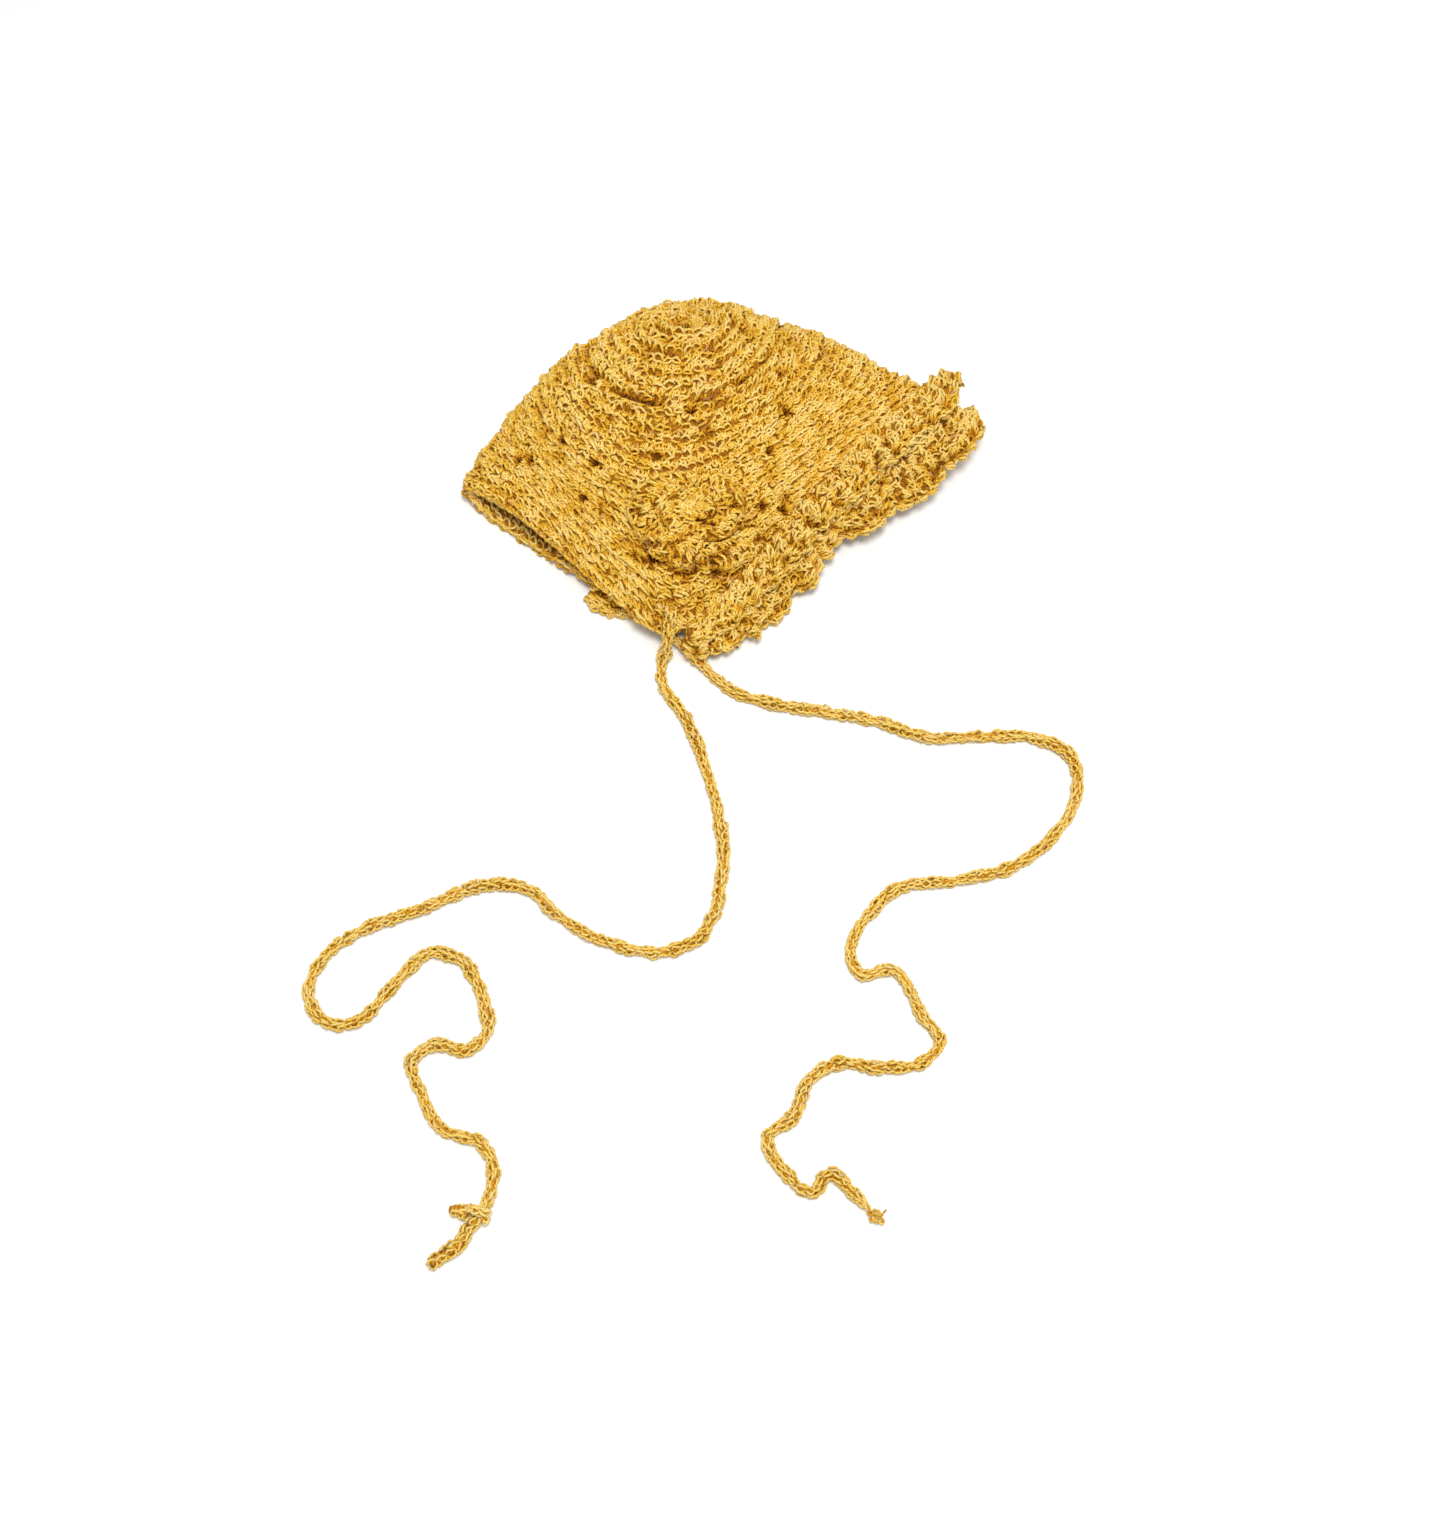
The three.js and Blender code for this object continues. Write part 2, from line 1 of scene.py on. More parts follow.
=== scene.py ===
"""A crocheted baby bonnet in golden yarn, lying folded on its side with its two ties laid out on the floor.

Laid out as an add-on: sizes and colours are properties, each piece or group of like pieces is one operator.
Tables and working sizes are in millimetres, in the frame's own axes, and meshes are made in metres.
"""

import math

import bmesh
import bpy
import numpy as np
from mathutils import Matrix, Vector


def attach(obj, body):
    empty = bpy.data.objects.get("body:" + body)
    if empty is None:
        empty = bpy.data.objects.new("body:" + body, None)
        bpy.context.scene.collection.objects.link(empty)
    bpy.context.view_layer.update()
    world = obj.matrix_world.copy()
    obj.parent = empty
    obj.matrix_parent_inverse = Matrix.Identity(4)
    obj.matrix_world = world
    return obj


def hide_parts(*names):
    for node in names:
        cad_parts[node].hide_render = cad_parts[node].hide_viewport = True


bl_info = {
    "name": "Crocheted Bonnet",
    "version": (1, 0, 0),
    "blender": (4, 5, 0),
    "location": "3D View > Sidebar > Bonnet",
    "description": "Builds a crocheted bonnet with its frill, rosette and ties",
    "category": "Object",
}

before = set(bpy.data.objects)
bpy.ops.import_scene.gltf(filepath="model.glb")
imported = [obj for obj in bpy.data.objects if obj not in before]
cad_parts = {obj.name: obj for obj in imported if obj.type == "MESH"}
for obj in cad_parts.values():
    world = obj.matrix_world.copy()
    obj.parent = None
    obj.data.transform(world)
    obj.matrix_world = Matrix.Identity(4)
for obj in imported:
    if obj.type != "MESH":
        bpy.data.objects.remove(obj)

MM = 0.001
BODY = "root"

# The cap's four meridians on its outer surface, from the crown centre (round 0) to the rim (round 1)
CAP_COLUMNS = ("round", "left", "near", "right", "far")
CAP_ROWS = tuple(dict(zip(CAP_COLUMNS, row)) for row in (
    (0.00, (-14.6, 49, 33), (-14.6, 49, 33), (-14.6, 49, 33), (-14.6, 49, 33)),
    (0.10, (-25.5, 49.8, 32), (-14.6, 40, 39.5), (-3.6, 51, 32), (-14.6, 60, 25.5)),
    (0.22, (-38.5, 50.6, 29), (-14.6, 25.5, 43), (9.5, 55.5, 29), (-14.2, 72, 14)),
    (0.36, (-52.8, 48.3, 23.5), (-14.7, 8, 42.5), (24, 57.5, 25), (-13.8, 68, 0)),
    (0.50, (-65, 41, 18.5), (-15, -9.5, 38.5), (38.5, 55, 21), (-15, 50, 0)),
    (0.65, (-76, 29.3, 14), (-15.6, -28, 32), (53, 48.7, 17.5), (-18, 27, 0)),
    (0.80, (-85.5, 16, 10.8), (-16.6, -47, 24), (67, 40.3, 15), (-25, 0, 0)),
    (0.90, (-91.2, 6.3, 9.4), (-17.4, -58, 17), (76, 34.8, 13.5), (-31.5, -21, 0)),
    (1.00, (-96, -3.7, 8.4), (-18.2, -69, 8.8), (84.5, 29.5, 12), (-37.5, -47, 0)),
))

# The frill along the front edge: at 0 lies the near ear corner, at 0.5 the forehead fold, at 1 the far corner
FRILL_COLUMNS = ("at", "upper_root", "upper_width", "upper_rise", "lower_width", "lower_drop", "ruffle")
FRILL_ROWS = tuple(dict(zip(FRILL_COLUMNS, row)) for row in (
    (0.00, 0.985, 6, 1.6, 8, -2.2, 0.5),
    (0.06, 0.975, 10, 1.6, 16, -5.0, 1.4),
    (0.12, 0.955, 11, 1.4, 17.5, -8.5, 1.8),
    (0.17, 0.935, 11, 1.0, 15.5, -9.0, 1.8),
    (0.22, 0.920, 10, 1.0, 11, -7.0, 1.5),
    (0.27, 0.910, 11, 1.0, 14, -8.5, 1.6),
    (0.33, 0.905, 11, 1.0, 18.5, -7.0, 1.8),
    (0.39, 0.905, 12, 1.6, 19.5, -3.0, 1.3),
    (0.44, 0.900, 12, 4.5, 15.5, -0.5, 0.8),
    (0.48, 0.890, 5.5, 8.5, 12.5, -0.3, 0.4),
    (0.51, 0.890, 8, 6.0, 15, -1.0, 0.2),
    (0.55, 0.910, 10, 0.6, 15, -2.0, 0.0),
    (0.62, 0.920, 9, 0.0, 14, -3.4, 0.0),
    (0.92, 0.930, 9, 0.0, 12.5, -3.4, 0.0),
    (1.00, 0.950, 7, 0.0, 5, -3.4, 0.0),
))

# Centre lines of the two ties, placed from the ear corners to the loose ends
NEAR_TIE = (
    (-19.1, -57.8, 18.1), (-19.5, -62.4, 14.4), (-20.6, -66.8, 10.7), (-21.4, -69.9, 5.4),
    (-23.0, -74.8, 2.6), (-21.8, -82.5, 2.5), (-15.7, -91.3, 2.5), (-8.9, -106.0, 2.5),
    (-2.9, -128.3, 2.5), (-0.8, -148.1, 2.5), (-4.6, -166.9, 2.5), (-12.0, -175.9, 2.5),
    (-25.4, -178.7, 2.5), (-42.4, -174.5, 2.5), (-56.2, -166.5, 2.5), (-66.7, -157.0, 2.5),
    (-83.5, -155.3, 2.5), (-98.5, -161.6, 2.5), (-111.1, -166.5, 2.5), (-125.0, -172.1, 2.5),
    (-135.7, -181.4, 2.5), (-139.5, -192.7, 2.5), (-133.4, -202.4, 2.5), (-122.1, -202.1, 2.5),
    (-110.3, -188.9, 2.5), (-99.9, -179.0, 2.5), (-88.6, -181.8, 2.5), (-81.3, -193.7, 2.5),
    (-79.4, -205.8, 2.5), (-85.7, -211.8, 2.5), (-96.4, -210.1, 2.5), (-103.6, -215.7, 2.5),
    (-99.7, -225.6, 2.5), (-92.2, -237.8, 2.5), (-81.0, -241.0, 2.5), (-75.1, -249.3, 2.5),
    (-76.2, -260.0, 2.5), (-81.5, -268.7, 2.5), (-86.9, -275.4, 2.5), (-95.5, -280.6, 2.5),
)
FAR_TIE = (
    (-20.5, -61.6, 3.6), (-12.3, -69.3, 3.1), (-5.5, -76.3, 2.5), (2.4, -83.6, 2.5),
    (15.2, -87.8, 2.5), (33.2, -91.3, 2.5), (54.7, -95.5, 2.5), (72.1, -101.5, 2.5),
    (91.5, -100.8, 2.5), (110.9, -101.9, 2.5), (121.6, -109.0, 2.5), (122.0, -123.9, 2.5),
    (113.8, -137.0, 2.5), (100.0, -148.1, 2.5), (80.2, -153.5, 2.5), (59.6, -156.0, 2.5),
    (47.7, -166.9, 2.5), (41.9, -178.0, 2.5), (45.7, -186.6, 2.5), (55.9, -184.5, 2.5),
    (62.0, -192.3, 2.5), (65.9, -201.1, 2.5), (71.3, -208.5, 2.5), (64.7, -216.1, 2.5),
    (50.1, -217.7, 2.5), (37.0, -216.1, 2.5), (26.4, -223.0, 2.5), (22.3, -233.7, 2.5),
    (13.4, -240.4, 2.5), (18.8, -251.2, 2.5), (27.7, -257.5, 2.5), (33.3, -251.8, 2.5),
    (42.1, -258.7, 2.5), (46.7, -264.6, 2.5),
)
KNOT_AT = (-79.0, -264.0, 3.0)
STUB = ((-82.4, -263.9, 2.6), (-85.8, -263.1, 2.5), (-88.9, -263.0, 2.3))
KNOT_CORD_RADIUS = 2.1
KNOT_LOWEST = 1.2
# The last stretch of each tie: its length (mm) and its thickness as a share of the tie's
NEAR_TAIL = (22, 1.2)
FAR_TAIL = (8, 0.7)
TUFT = ((46.7, -264.6, 2.5), (50.8, -267.5, 2.6))

# The strands of one stitch: across (shares of its width), down (shares of the round's height), out (mm)
LEG = ((0.04, 0.02, -0.9), (0.18, 0.22, 0.10), (0.28, 0.48, 0.15), (0.38, 0.76, -0.8))
CURL_UP = (
    (-0.44, 0.16, -0.7), (-0.46, 0.40, 0.15), (-0.27, 0.55, 0.55), (-0.07, 0.44, 0.55), (-0.04, 0.18, 0.10),
    (-0.18, 0.06, -0.7),
)
CURL_DOWN = (
    (0.00, 0.64, -0.7), (0.02, 0.38, 0.15), (0.22, 0.24, 0.55), (0.42, 0.36, 0.55), (0.45, 0.62, 0.10),
    (0.30, 0.74, -0.7),
)
FRONT_LOOP = (
    (-0.60, 0.84, -0.7), (-0.34, 0.68, 0.35), (0.02, 0.66, 0.60), (0.36, 0.80, 0.40), (0.56, 1.00, -0.7),
)
BACK_LOOP = (
    (-0.62, 1.02, -0.7), (-0.34, 1.12, 0.25), (0.02, 1.14, 0.45), (0.36, 1.04, 0.30), (0.60, 0.90, -0.7),
)
STITCH = (LEG, CURL_UP, CURL_DOWN, FRONT_LOOP, BACK_LOOP)
HIDDEN_STITCH = (LEG, BACK_LOOP)
EDGE_STITCH = (FRONT_LOOP, BACK_LOOP, CURL_DOWN)
# Picots on the frill's edge: how many for each stitch, and how far they stand out (mm)
PICOTS_A_STITCH = 0.5
PICOT_REACH = 1.5
# The ties are washed paler and drawn out: the range of their tones, the lowest one, and their yarn's size
TIE_TONES = 0.5
TIE_PALENESS = 0.62
TIE_YARN = 0.85
# One loop of the crocheted ties: along the cord, round it and out of it
TIE_STITCH = (
    ((-0.15, 0.02, -0.7), (0.15, -0.22, 0.30), (0.60, -0.36, 0.42), (1.05, -0.10, -0.5)),
    ((-0.15, 0.04, -0.7), (0.18, 0.28, 0.35), (0.62, 0.40, 0.42), (1.05, 0.08, -0.5)),
)


def linear(hex_colour):
    """Turns an sRGB hex value into linear RGB."""
    values = [int(hex_colour[i:i + 2], 16) / 255 for i in (0, 2, 4)]
    return [v / 12.92 if v <= 0.04045 else ((v + 0.055) / 1.055) ** 2.4 for v in values]


def length_property(name, description, size):
    """A length, given in mm, that the panel shows in the scene's unit."""
    return bpy.props.FloatProperty(
        name=name, description=description, default=size * MM, unit="LENGTH", precision=5
    )


def colour_property(name, description, hex_colour):
    """A colour, given as sRGB hex and kept as linear RGB."""
    return bpy.props.FloatVectorProperty(
        name=name, description=description, subtype="COLOR", default=linear(hex_colour)
    )


class BonnetSizes(bpy.types.PropertyGroup):
    """The sizes that set how the crochet looks"""

    yarn: length_property("Yarn", "Diameter of the yarn", 1.1)
    stitch: length_property("Stitch", "Width of one stitch", 3.1)
    rounds: bpy.props.IntProperty(
        name="Rounds", description="Rounds from the crown to the rim", default=24, min=8
    )
    wall: length_property("Wall", "Thickness of the crocheted cloth", 3.2)
    tie: length_property("Tie", "Diameter of a crocheted tie", 5.1)
    tie_stitch: length_property("Tie stitch", "Length of one stitch of a tie", 3.0)


class BonnetColours(bpy.types.PropertyGroup):
    """The colours of the yarn, with those of its painted shade and highlight"""

    # Light is the painted highlight; deep and hollow are painted shade deep in the stitches, between them and
    # at the bottom of holes
    light: colour_property("Light", "Yarn where it is palest", "F8DE90")
    gold: colour_property("Gold", "Yarn over most of the bonnet", "EBBC3B")
    deep: colour_property("Deep", "Yarn deep in the stitches", "CA8A1C")
    hollow: colour_property("Hollow", "Cloth at the bottom of the holes", "7A4210")


def fade(low, high, value):
    """Goes smoothly from 0 to 1 between low and high."""
    t = np.clip((value - low) / (high - low), 0, 1)
    return t * t * (3 - 2 * t)


def unit(vectors):
    """The vectors at length 1."""
    return vectors / np.maximum(np.linalg.norm(vectors, axis=-1, keepdims=True), 1e-9)


def curve_between(start, end, leave, arrive, t):
    """A smooth curve from start to end, with the directions in which it leaves and arrives."""
    return (
        (2 * t**3 - 3 * t**2 + 1) * start + (t**3 - 2 * t**2 + t) * leave
        + (3 * t**2 - 2 * t**3) * end + (t**3 - t**2) * arrive
    )


def read_table(rows, key, column, at):
    """One column of a table, read between its rows with a smooth curve."""
    keys = [row[key] for row in rows]
    values = [np.atleast_1d(np.array(row[column], float)) for row in rows]
    gaps = np.diff(keys)
    steps = [(b - a) / gap for a, b, gap in zip(values, values[1:], gaps)]
    i = min(max(int(np.searchsorted(keys, at, side="right")) - 1, 0), len(steps) - 1)

    def slope(j):
        if 0 < j < len(steps):
            return (gaps[j] * steps[j - 1] + gaps[j - 1] * steps[j]) / (gaps[j - 1] + gaps[j])
        return steps[0] if j == 0 else steps[-1]

    t = (at - keys[i]) / gaps[i]
    return curve_between(values[i], values[i + 1], gaps[i] * slope(i), gaps[i] * slope(i + 1), t)


def run_along(points):
    """Distances along a line of points, from its first one to each."""
    return np.concatenate(([0], np.cumsum(np.linalg.norm(np.diff(points, axis=0), axis=1))))


def points_at(points, run, wanted):
    """The points of a line that lie at the wanted distances along it."""
    return np.stack([np.interp(wanted, run, points[:, axis]) for axis in range(3)], axis=1)


# Where the frame's origin lies in the tables' own coordinates (mm)
ORIGIN = np.array((0.8, 0.9, 0))
# How the cap's rounds bend, as in the solid: heights and bows in mm, and from where to where they set in, as
# shares of the way from the crown to the rim
NECK_INWARD = np.array((0.62, 0.78, 0))
NECK_RISE = 6.3
FRONT_RISE = 8.5
NECK_BOW = 3
LIP_BOW = 1.2
STRAIGHT_FROM = 0.35
PUFF = 0.25
FLAT_FROM_TO = (0.1, 0.5)
FLOOR_FROM_TO = (0.2, 0.4)
# The far side is lifted by the frill under it, up to these angles of a round (radians)
FRILL_LIFT = 3.7
LIFT_FROM_TO = (0.8, 0.9)
LIFT_ENDS = (4.9, 5.3)
# How finely the cap's surface is worked out
RINGS = 100
RING_STEPS = 256
RING_SMOOTHING = 32
ROUND_FIRST = 0.01
ROUND_LAST = 1.01
# The first rounds are worked more evenly than the others
CROWN_TIDINESS = 0.6
TIDY_ROUNDS = 5
# Uneven tension of the whole cap, and how it breaks its ropes and grooves up: heights and wavelengths (mm)
CAP_UNEVENNESS = (0.55, 9)
BROKEN_WAVELENGTH = 13
GROOVE_WIDTH = 0.24
# Grooves near the crown: after which round, and how deep (mm)
CROWN_GROOVES = ((2, 1.5), (4, 2.0), (8, 2.2))
# The hole in the crown's centre: depth (mm), reach (rounds), and where the first round's stitches start
CROWN_HOLE = 4.5
CROWN_HOLE_REACH = 0.8
CROWN_HOLE_AT = 0.026
# Each round is a rope: how high it stands near the crown and on the sides (mm), and where it is lowest
ROPE_AT_CROWN = 2.1
ROPE_ON_SIDES = 1.4
ROPE_PHASE = 0.2
# Small holes between the near side's stitches: how many, depth and radius (mm), and the painted shade in and
# round them: its strength and how far it reaches (mm)
SMALL_HOLES = 18
HOLE_DEPTH = 4.2
HOLE_RADIUS = 1.4
HOLE_SHADE = 1.2
SHADE_REACH = 2.4
# Pits at the foot of the frill's lobes: how many, depth and radius (mm)
PITS = 26
PIT_DEPTH = 3.4
PIT_RADIUS = 1.2
# Heights (mm) at which painted shade gives the yarn its hollow and its deep colour, and painted light its
# light colour
HOLLOW_AT = -3.4
DEEP_AT = -1.8
LIGHT_AT = 1.6
# Creases round the rosette's petals, pressed in and dark with painted shade: lines in plan, their depth and
# half their width (mm)
CREASES = (
    ((-29.2, -37.0), (-26.4, -38.8), (-21.5, -39.9), (-17.2, -38.8), (-14.1, -38.4)),
    ((-32.7, -38.6), (-30.7, -40.6), (-26.4, -43.0), (-21.5, -43.8), (-17.3, -46.6), (-12.8, -47.0),
     (-8.9, -44.9),
     (-2.9, -41.6), (3.1, -36.6)),
    ((-5.0, -45.0), (0.2, -45.0), (4.8, -43.2), (8.5, -40.5)),
    ((10.0, -34.4), (14.4, -31.5)),
    ((-9.6, -31.5), (-3.6, -33.0)),
    ((0.9, -26.5), (3.4, -24.2)),
    ((4.8, -30.8), (8.4, -29.6)),
)
CREASE_DEPTH = 1.4
CREASE_REACH = 0.75
# How strongly painted shade darkens the strands in the creases
CREASE_SHADE = 0.5
CREASES_ABOVE = 6.0
# Height of a round as a share of a stitch's width
STITCH_ASPECT = 1.5
# Past this round the cap's far half lies on the floor, and all strands of a stitch are laid only from s to s
ROUNDS_SEEN_ALL_ROUND = 9
NEAR_HALF_FROM_TO = (0.94, 0.56)
# How stitches differ: swelling of a stitch and of a strand (mm), and wobbles as shares of the row's
STITCH_SWELL = 0.14
STRAND_SWELL = 0.18
PLACE_WOBBLE = 0.5
POINT_WOBBLE = 0.45
YARN_FROM_TO = (0.9, 1.1)
# Yarn lower than this (mm) is pressed flat on the floor: that of the cloth, of the ties and of their ends
CLOTH_SOFT = 0.5
TIE_SOFT = 0.3
TIE_END_SOFT = 0.4
# How far at least (mm) a strand runs along the cloth between two of its points
SHORTEST_STEP = 0.01
SEED = 7


class Cloth:
    """A surface kept as a grid of points in mm: rows run along s, and t grows from row to row."""

    def __init__(self, points, t_low=0.0, t_high=1.0, closed=False):
        self.points = points
        self.t_low = t_low
        self.t_high = t_high
        self.closed = closed
        if closed:
            run = np.roll(points, -1, axis=1) - np.roll(points, 1, axis=1)
        else:
            run = np.gradient(points, axis=1)
        self.normals = unit(np.cross(np.gradient(points, axis=0), run))

    def read(self, grid, s, t):
        """Values of a grid between its points."""
        rows, columns = grid.shape[:2]
        y = np.clip((t - self.t_low) / (self.t_high - self.t_low), 0, 1) * (rows - 1)
        x = s * columns if self.closed else np.clip(s, 0, 1) * (columns - 1)
        j = np.floor(x).astype(int)
        i = np.minimum(np.floor(y).astype(int), rows - 2)
        u, v = (x - j)[..., None], (y - i)[..., None]
        if self.closed:
            a, b = j % columns, (j + 1) % columns
        else:
            a, b = np.minimum(j, columns - 1), np.minimum(j + 1, columns - 1)
        upper = grid[i, a] * (1 - u) + grid[i, b] * u
        lower = grid[i + 1, a] * (1 - u) + grid[i + 1, b] * u
        return upper * (1 - v) + lower * v

    def normal(self, s, t):
        return unit(self.read(self.normals, s, t))

    def at(self, s, t, out=0.0):
        """Points that stand out of the surface by so many mm."""
        s, t = np.broadcast_arrays(np.asarray(s, float), np.asarray(t, float))
        return self.read(self.points, s, t) + self.normal(s, t) * np.asarray(out)[..., None]

    def row_length(self, t):
        """Length in mm of the row at t."""
        s = np.linspace(0, 1, 400)
        return float(run_along(self.read(self.points, s, np.full_like(s, t)))[-1])


def cap_ring(share, angles):
    """A round of the cap's outer surface: 0 is the nape fold, pi the forehead, with the near half between."""
    left, near, right, far = (read_table(CAP_ROWS, "round", side, share) for side in CAP_COLUMNS[1:])
    centre, half = (left + right) / 2, (right - left) / 2
    out = np.abs(np.sin(angles))
    along = ((1 - np.cos(angles)) / 2)[:, None]
    is_near = angles <= math.pi
    middle = np.where(is_near[:, None], near, far)
    straight = fade(STRAIGHT_FROM, 1, share)
    curved = centre - np.cos(angles)[:, None] * half + out[:, None] * (middle - centre)
    to_corner, from_corner = left + (middle - left) * 2 * along, middle + (right - middle) * (2 * along - 1)
    cornered = np.where(along < 0.5, to_corner, from_corner)
    points = curved + (cornered - curved) * straight
    along = along[:, 0]
    fold = left[2] + (right[2] - left[2]) * along
    flatness = fade(*FLAT_FROM_TO, share)
    depth = middle[:, 2] - centre[2]
    puffed = fold + depth * out ** (1 - PUFF * flatness)
    rim = cornered[:, 2] + np.where(along < 0.5, NECK_RISE, FRONT_RISE) * np.abs(np.sin(2 * angles))
    sunk = fold + depth * out
    flat = fold * (1 - (1 + PUFF * flatness) * out**0.5)
    lift = FRILL_LIFT * fade(*LIFT_FROM_TO, share) * (1 - fade(*LIFT_ENDS, angles))
    floor = np.maximum(sunk + (flat - sunk) * fade(*FLOOR_FROM_TO, share), lift)
    points[:, 2] = np.where(is_near, puffed + (rim - puffed) * straight, floor)
    bow = np.where(is_near, NECK_BOW, -LIP_BOW) * straight * np.sin(2 * angles) ** 2
    points += (bow * (along < 0.5))[:, None] * NECK_INWARD
    for _ in range(RING_SMOOTHING):
        points = points / 2 + (np.roll(points, 1, axis=0) + np.roll(points, -1, axis=0)) / 4
    return points - ORIGIN


def evenly_spaced(ring):
    """The closed ring's points, moved along it to equal distances."""
    loop = np.vstack((ring, ring[:1]))
    run = run_along(loop)
    return points_at(loop, run, np.linspace(0, run[-1], len(ring), endpoint=False))


def cap_surfaces():
    """The cap's outer surface twice: by angle for what hangs on it, and evenly spaced for its stitches."""
    angles = np.linspace(0, 2 * math.pi, RING_STEPS, endpoint=False)
    rings = [cap_ring(share, angles) for share in np.linspace(ROUND_FIRST, 1, RINGS)]
    rings = np.stack([*rings, rings[-1] + (rings[-1] - rings[-4]) / 3])
    even = np.stack([evenly_spaced(ring) for ring in rings])
    return tuple(Cloth(points, ROUND_FIRST, ROUND_LAST, True) for points in (rings, even))


def unevenness(points, wavelength, seed):
    """A smooth random height from about -1 to 1 at each point (mm), the same for base and stitches."""
    rng = np.random.default_rng(seed)
    waves, spread = 9, (0.75, 1.35)
    total = np.zeros(points.shape[:-1])
    for _ in range(waves):
        direction = unit(rng.normal(size=3)) * 2 * math.pi / (wavelength * rng.uniform(*spread))
        total += np.sin(points @ direction + rng.uniform(0, 2 * math.pi))
    return total / math.sqrt(waves)


def next_ring(bm, ring):
    """Extrudes a ring of edges: gives the new ring's edges and its vertices."""
    made = bmesh.ops.extrude_edge_only(bm, edges=ring)["geom"]
    edges = [g for g in made if isinstance(g, bmesh.types.BMEdge)]
    return edges, [g for g in made if isinstance(g, bmesh.types.BMVert)]


def tube_template(rings, sides):
    """A straight closed tube of unit radius, one unit between rings, with each corner's turns round it."""
    bm = bmesh.new()
    bmesh.ops.create_circle(bm, cap_ends=False, segments=sides, radius=1)
    start = end = bm.edges[:]
    for _ in range(rings - 1):
        end, verts = next_ring(bm, end)
        bmesh.ops.translate(bm, vec=(0, 0, 1), verts=verts)
    bmesh.ops.holes_fill(bm, edges=[*start, *end], sides=0)
    bmesh.ops.recalc_face_normals(bm, faces=bm.faces)
    bm.verts.index_update()
    co = np.array([v.co for v in bm.verts])
    ring = np.rint(co[:, 2]).astype(int)
    side = np.rint(np.arctan2(co[:, 1], co[:, 0]) / (2 * math.pi) * sides).astype(int) % sides
    totals, corners, turns = [], [], []
    for face in bm.faces:
        indices = [v.index for v in face.verts]
        around = side[indices]
        if len(indices) == 4 and around.max() - around.min() > 1:
            around = np.where(around == 0, sides, around)
        totals.append(len(indices))
        corners.extend(indices)
        turns.extend(around / sides)
    bm.free()
    return {
        "rings": rings, "co": co, "ring": ring, "totals": np.array(totals),
        "corners": np.array(corners), "turns": np.array(turns),
    }


def bend_tubes(template, paths, outward, radius):
    """Vertices (mm) of copies of a tube bent along the paths; radius is one value or one for each ring."""
    tangent = unit(np.gradient(paths, axis=1))
    side = unit(np.cross(outward, tangent))
    top = np.cross(tangent, side)
    ring, co = template["ring"], template["co"]
    size = np.broadcast_to(np.asarray(radius, float), (template["rings"],))[ring]
    across = side[:, ring] * (co[:, 0] * size)[:, None]
    up = top[:, ring] * (co[:, 1] * size)[:, None]
    return paths[:, ring] + (across + up)


class Strands:
    """Yarn strands gathered for one joined mesh."""

    def __init__(self, sides=4):
        self.sides = sides
        self.templates = {}
        self.batches = []

    def add(self, paths, outward, radius, tone):
        """Adds one strand for each path (strands, points, 3) in mm, with one tone or one for each point.

        A strand that the cloth's end squeezes to nothing is left out.
        """
        rings = paths.shape[1]
        if rings not in self.templates:
            self.templates[rings] = tube_template(rings, self.sides)
        template = self.templates[rings]
        steps = np.diff(paths, axis=1)
        along_cloth = np.linalg.norm(np.cross(steps, outward[:, 1:]), axis=2)
        whole = along_cloth.min(axis=1) > SHORTEST_STEP
        verts = bend_tubes(template, paths[whole], outward[whole], radius)
        lengths = np.linalg.norm(steps[whole], axis=2)
        run = np.concatenate((np.zeros((len(verts), 1)), np.cumsum(lengths, axis=1)), axis=1)
        self.batches.append((template, verts, run, np.broadcast_to(tone, paths.shape[:2])[whole]))

    def make(self, name, floor=None):
        """The joined mesh, with the yarn's UV map (mm along, turns round) and a tone for each point that
        carries the yarn's painted shade and highlight.
        """
        co, corners, totals, uvs, tones = [], [], [], [], []
        base = 0
        for template, verts, run, tone in self.batches:
            count, size = verts.shape[:2]
            shift = base + np.arange(count)[:, None] * size
            co.append(verts.reshape(-1, 3))
            corners.append((template["corners"][None] + shift).ravel())
            totals.append(np.tile(template["totals"], count))
            along = run[:, template["ring"][template["corners"]]]
            turns = np.broadcast_to(template["turns"], along.shape)
            uvs.append(np.stack((along, turns), axis=-1).reshape(-1, 2))
            tones.append(tone[:, template["ring"]].ravel())
            base += count * size
        co = np.concatenate(co)
        if floor is not None:
            co[:, 2] = squeezed_on_floor(co[:, 2], floor)
        mesh = mesh_from_arrays(name, co * MM, np.concatenate(corners), np.concatenate(totals))
        layer = mesh.uv_layers.new(name="yarn")
        layer.data.foreach_set("uv", np.concatenate(uvs).astype(np.float32).ravel())
        # The tone attribute holds the painted shade and highlight of the yarn, and each strand's own random
        # tone
        tone = mesh.attributes.new("tone", "FLOAT", "POINT")
        tone.data.foreach_set("value", np.concatenate(tones).astype(np.float32))
        return linked(name, mesh)


def squeezed_on_floor(heights, soft):
    """Yarn under this height (mm) is pressed flat instead of going through the floor."""
    return np.where(heights < soft, soft * np.exp(np.minimum(heights - soft, 0) / soft), heights)


def mesh_from_arrays(name, co, corners, totals):
    """A smooth-shaded mesh from joined copies' vertices and faces."""
    mesh = bpy.data.meshes.new(name)
    mesh.vertices.add(len(co))
    mesh.vertices.foreach_set("co", co.astype(np.float32).ravel())
    mesh.loops.add(len(corners))
    mesh.loops.foreach_set("vertex_index", corners.astype(np.int32))
    mesh.polygons.add(len(totals))
    starts = np.concatenate(([0], np.cumsum(totals)[:-1])).astype(np.int32)
    mesh.polygons.foreach_set("loop_start", starts)
    mesh.polygons.foreach_set("use_smooth", np.ones(len(totals), bool))
    mesh.update(calc_edges=True)
    mesh.validate()
    return mesh


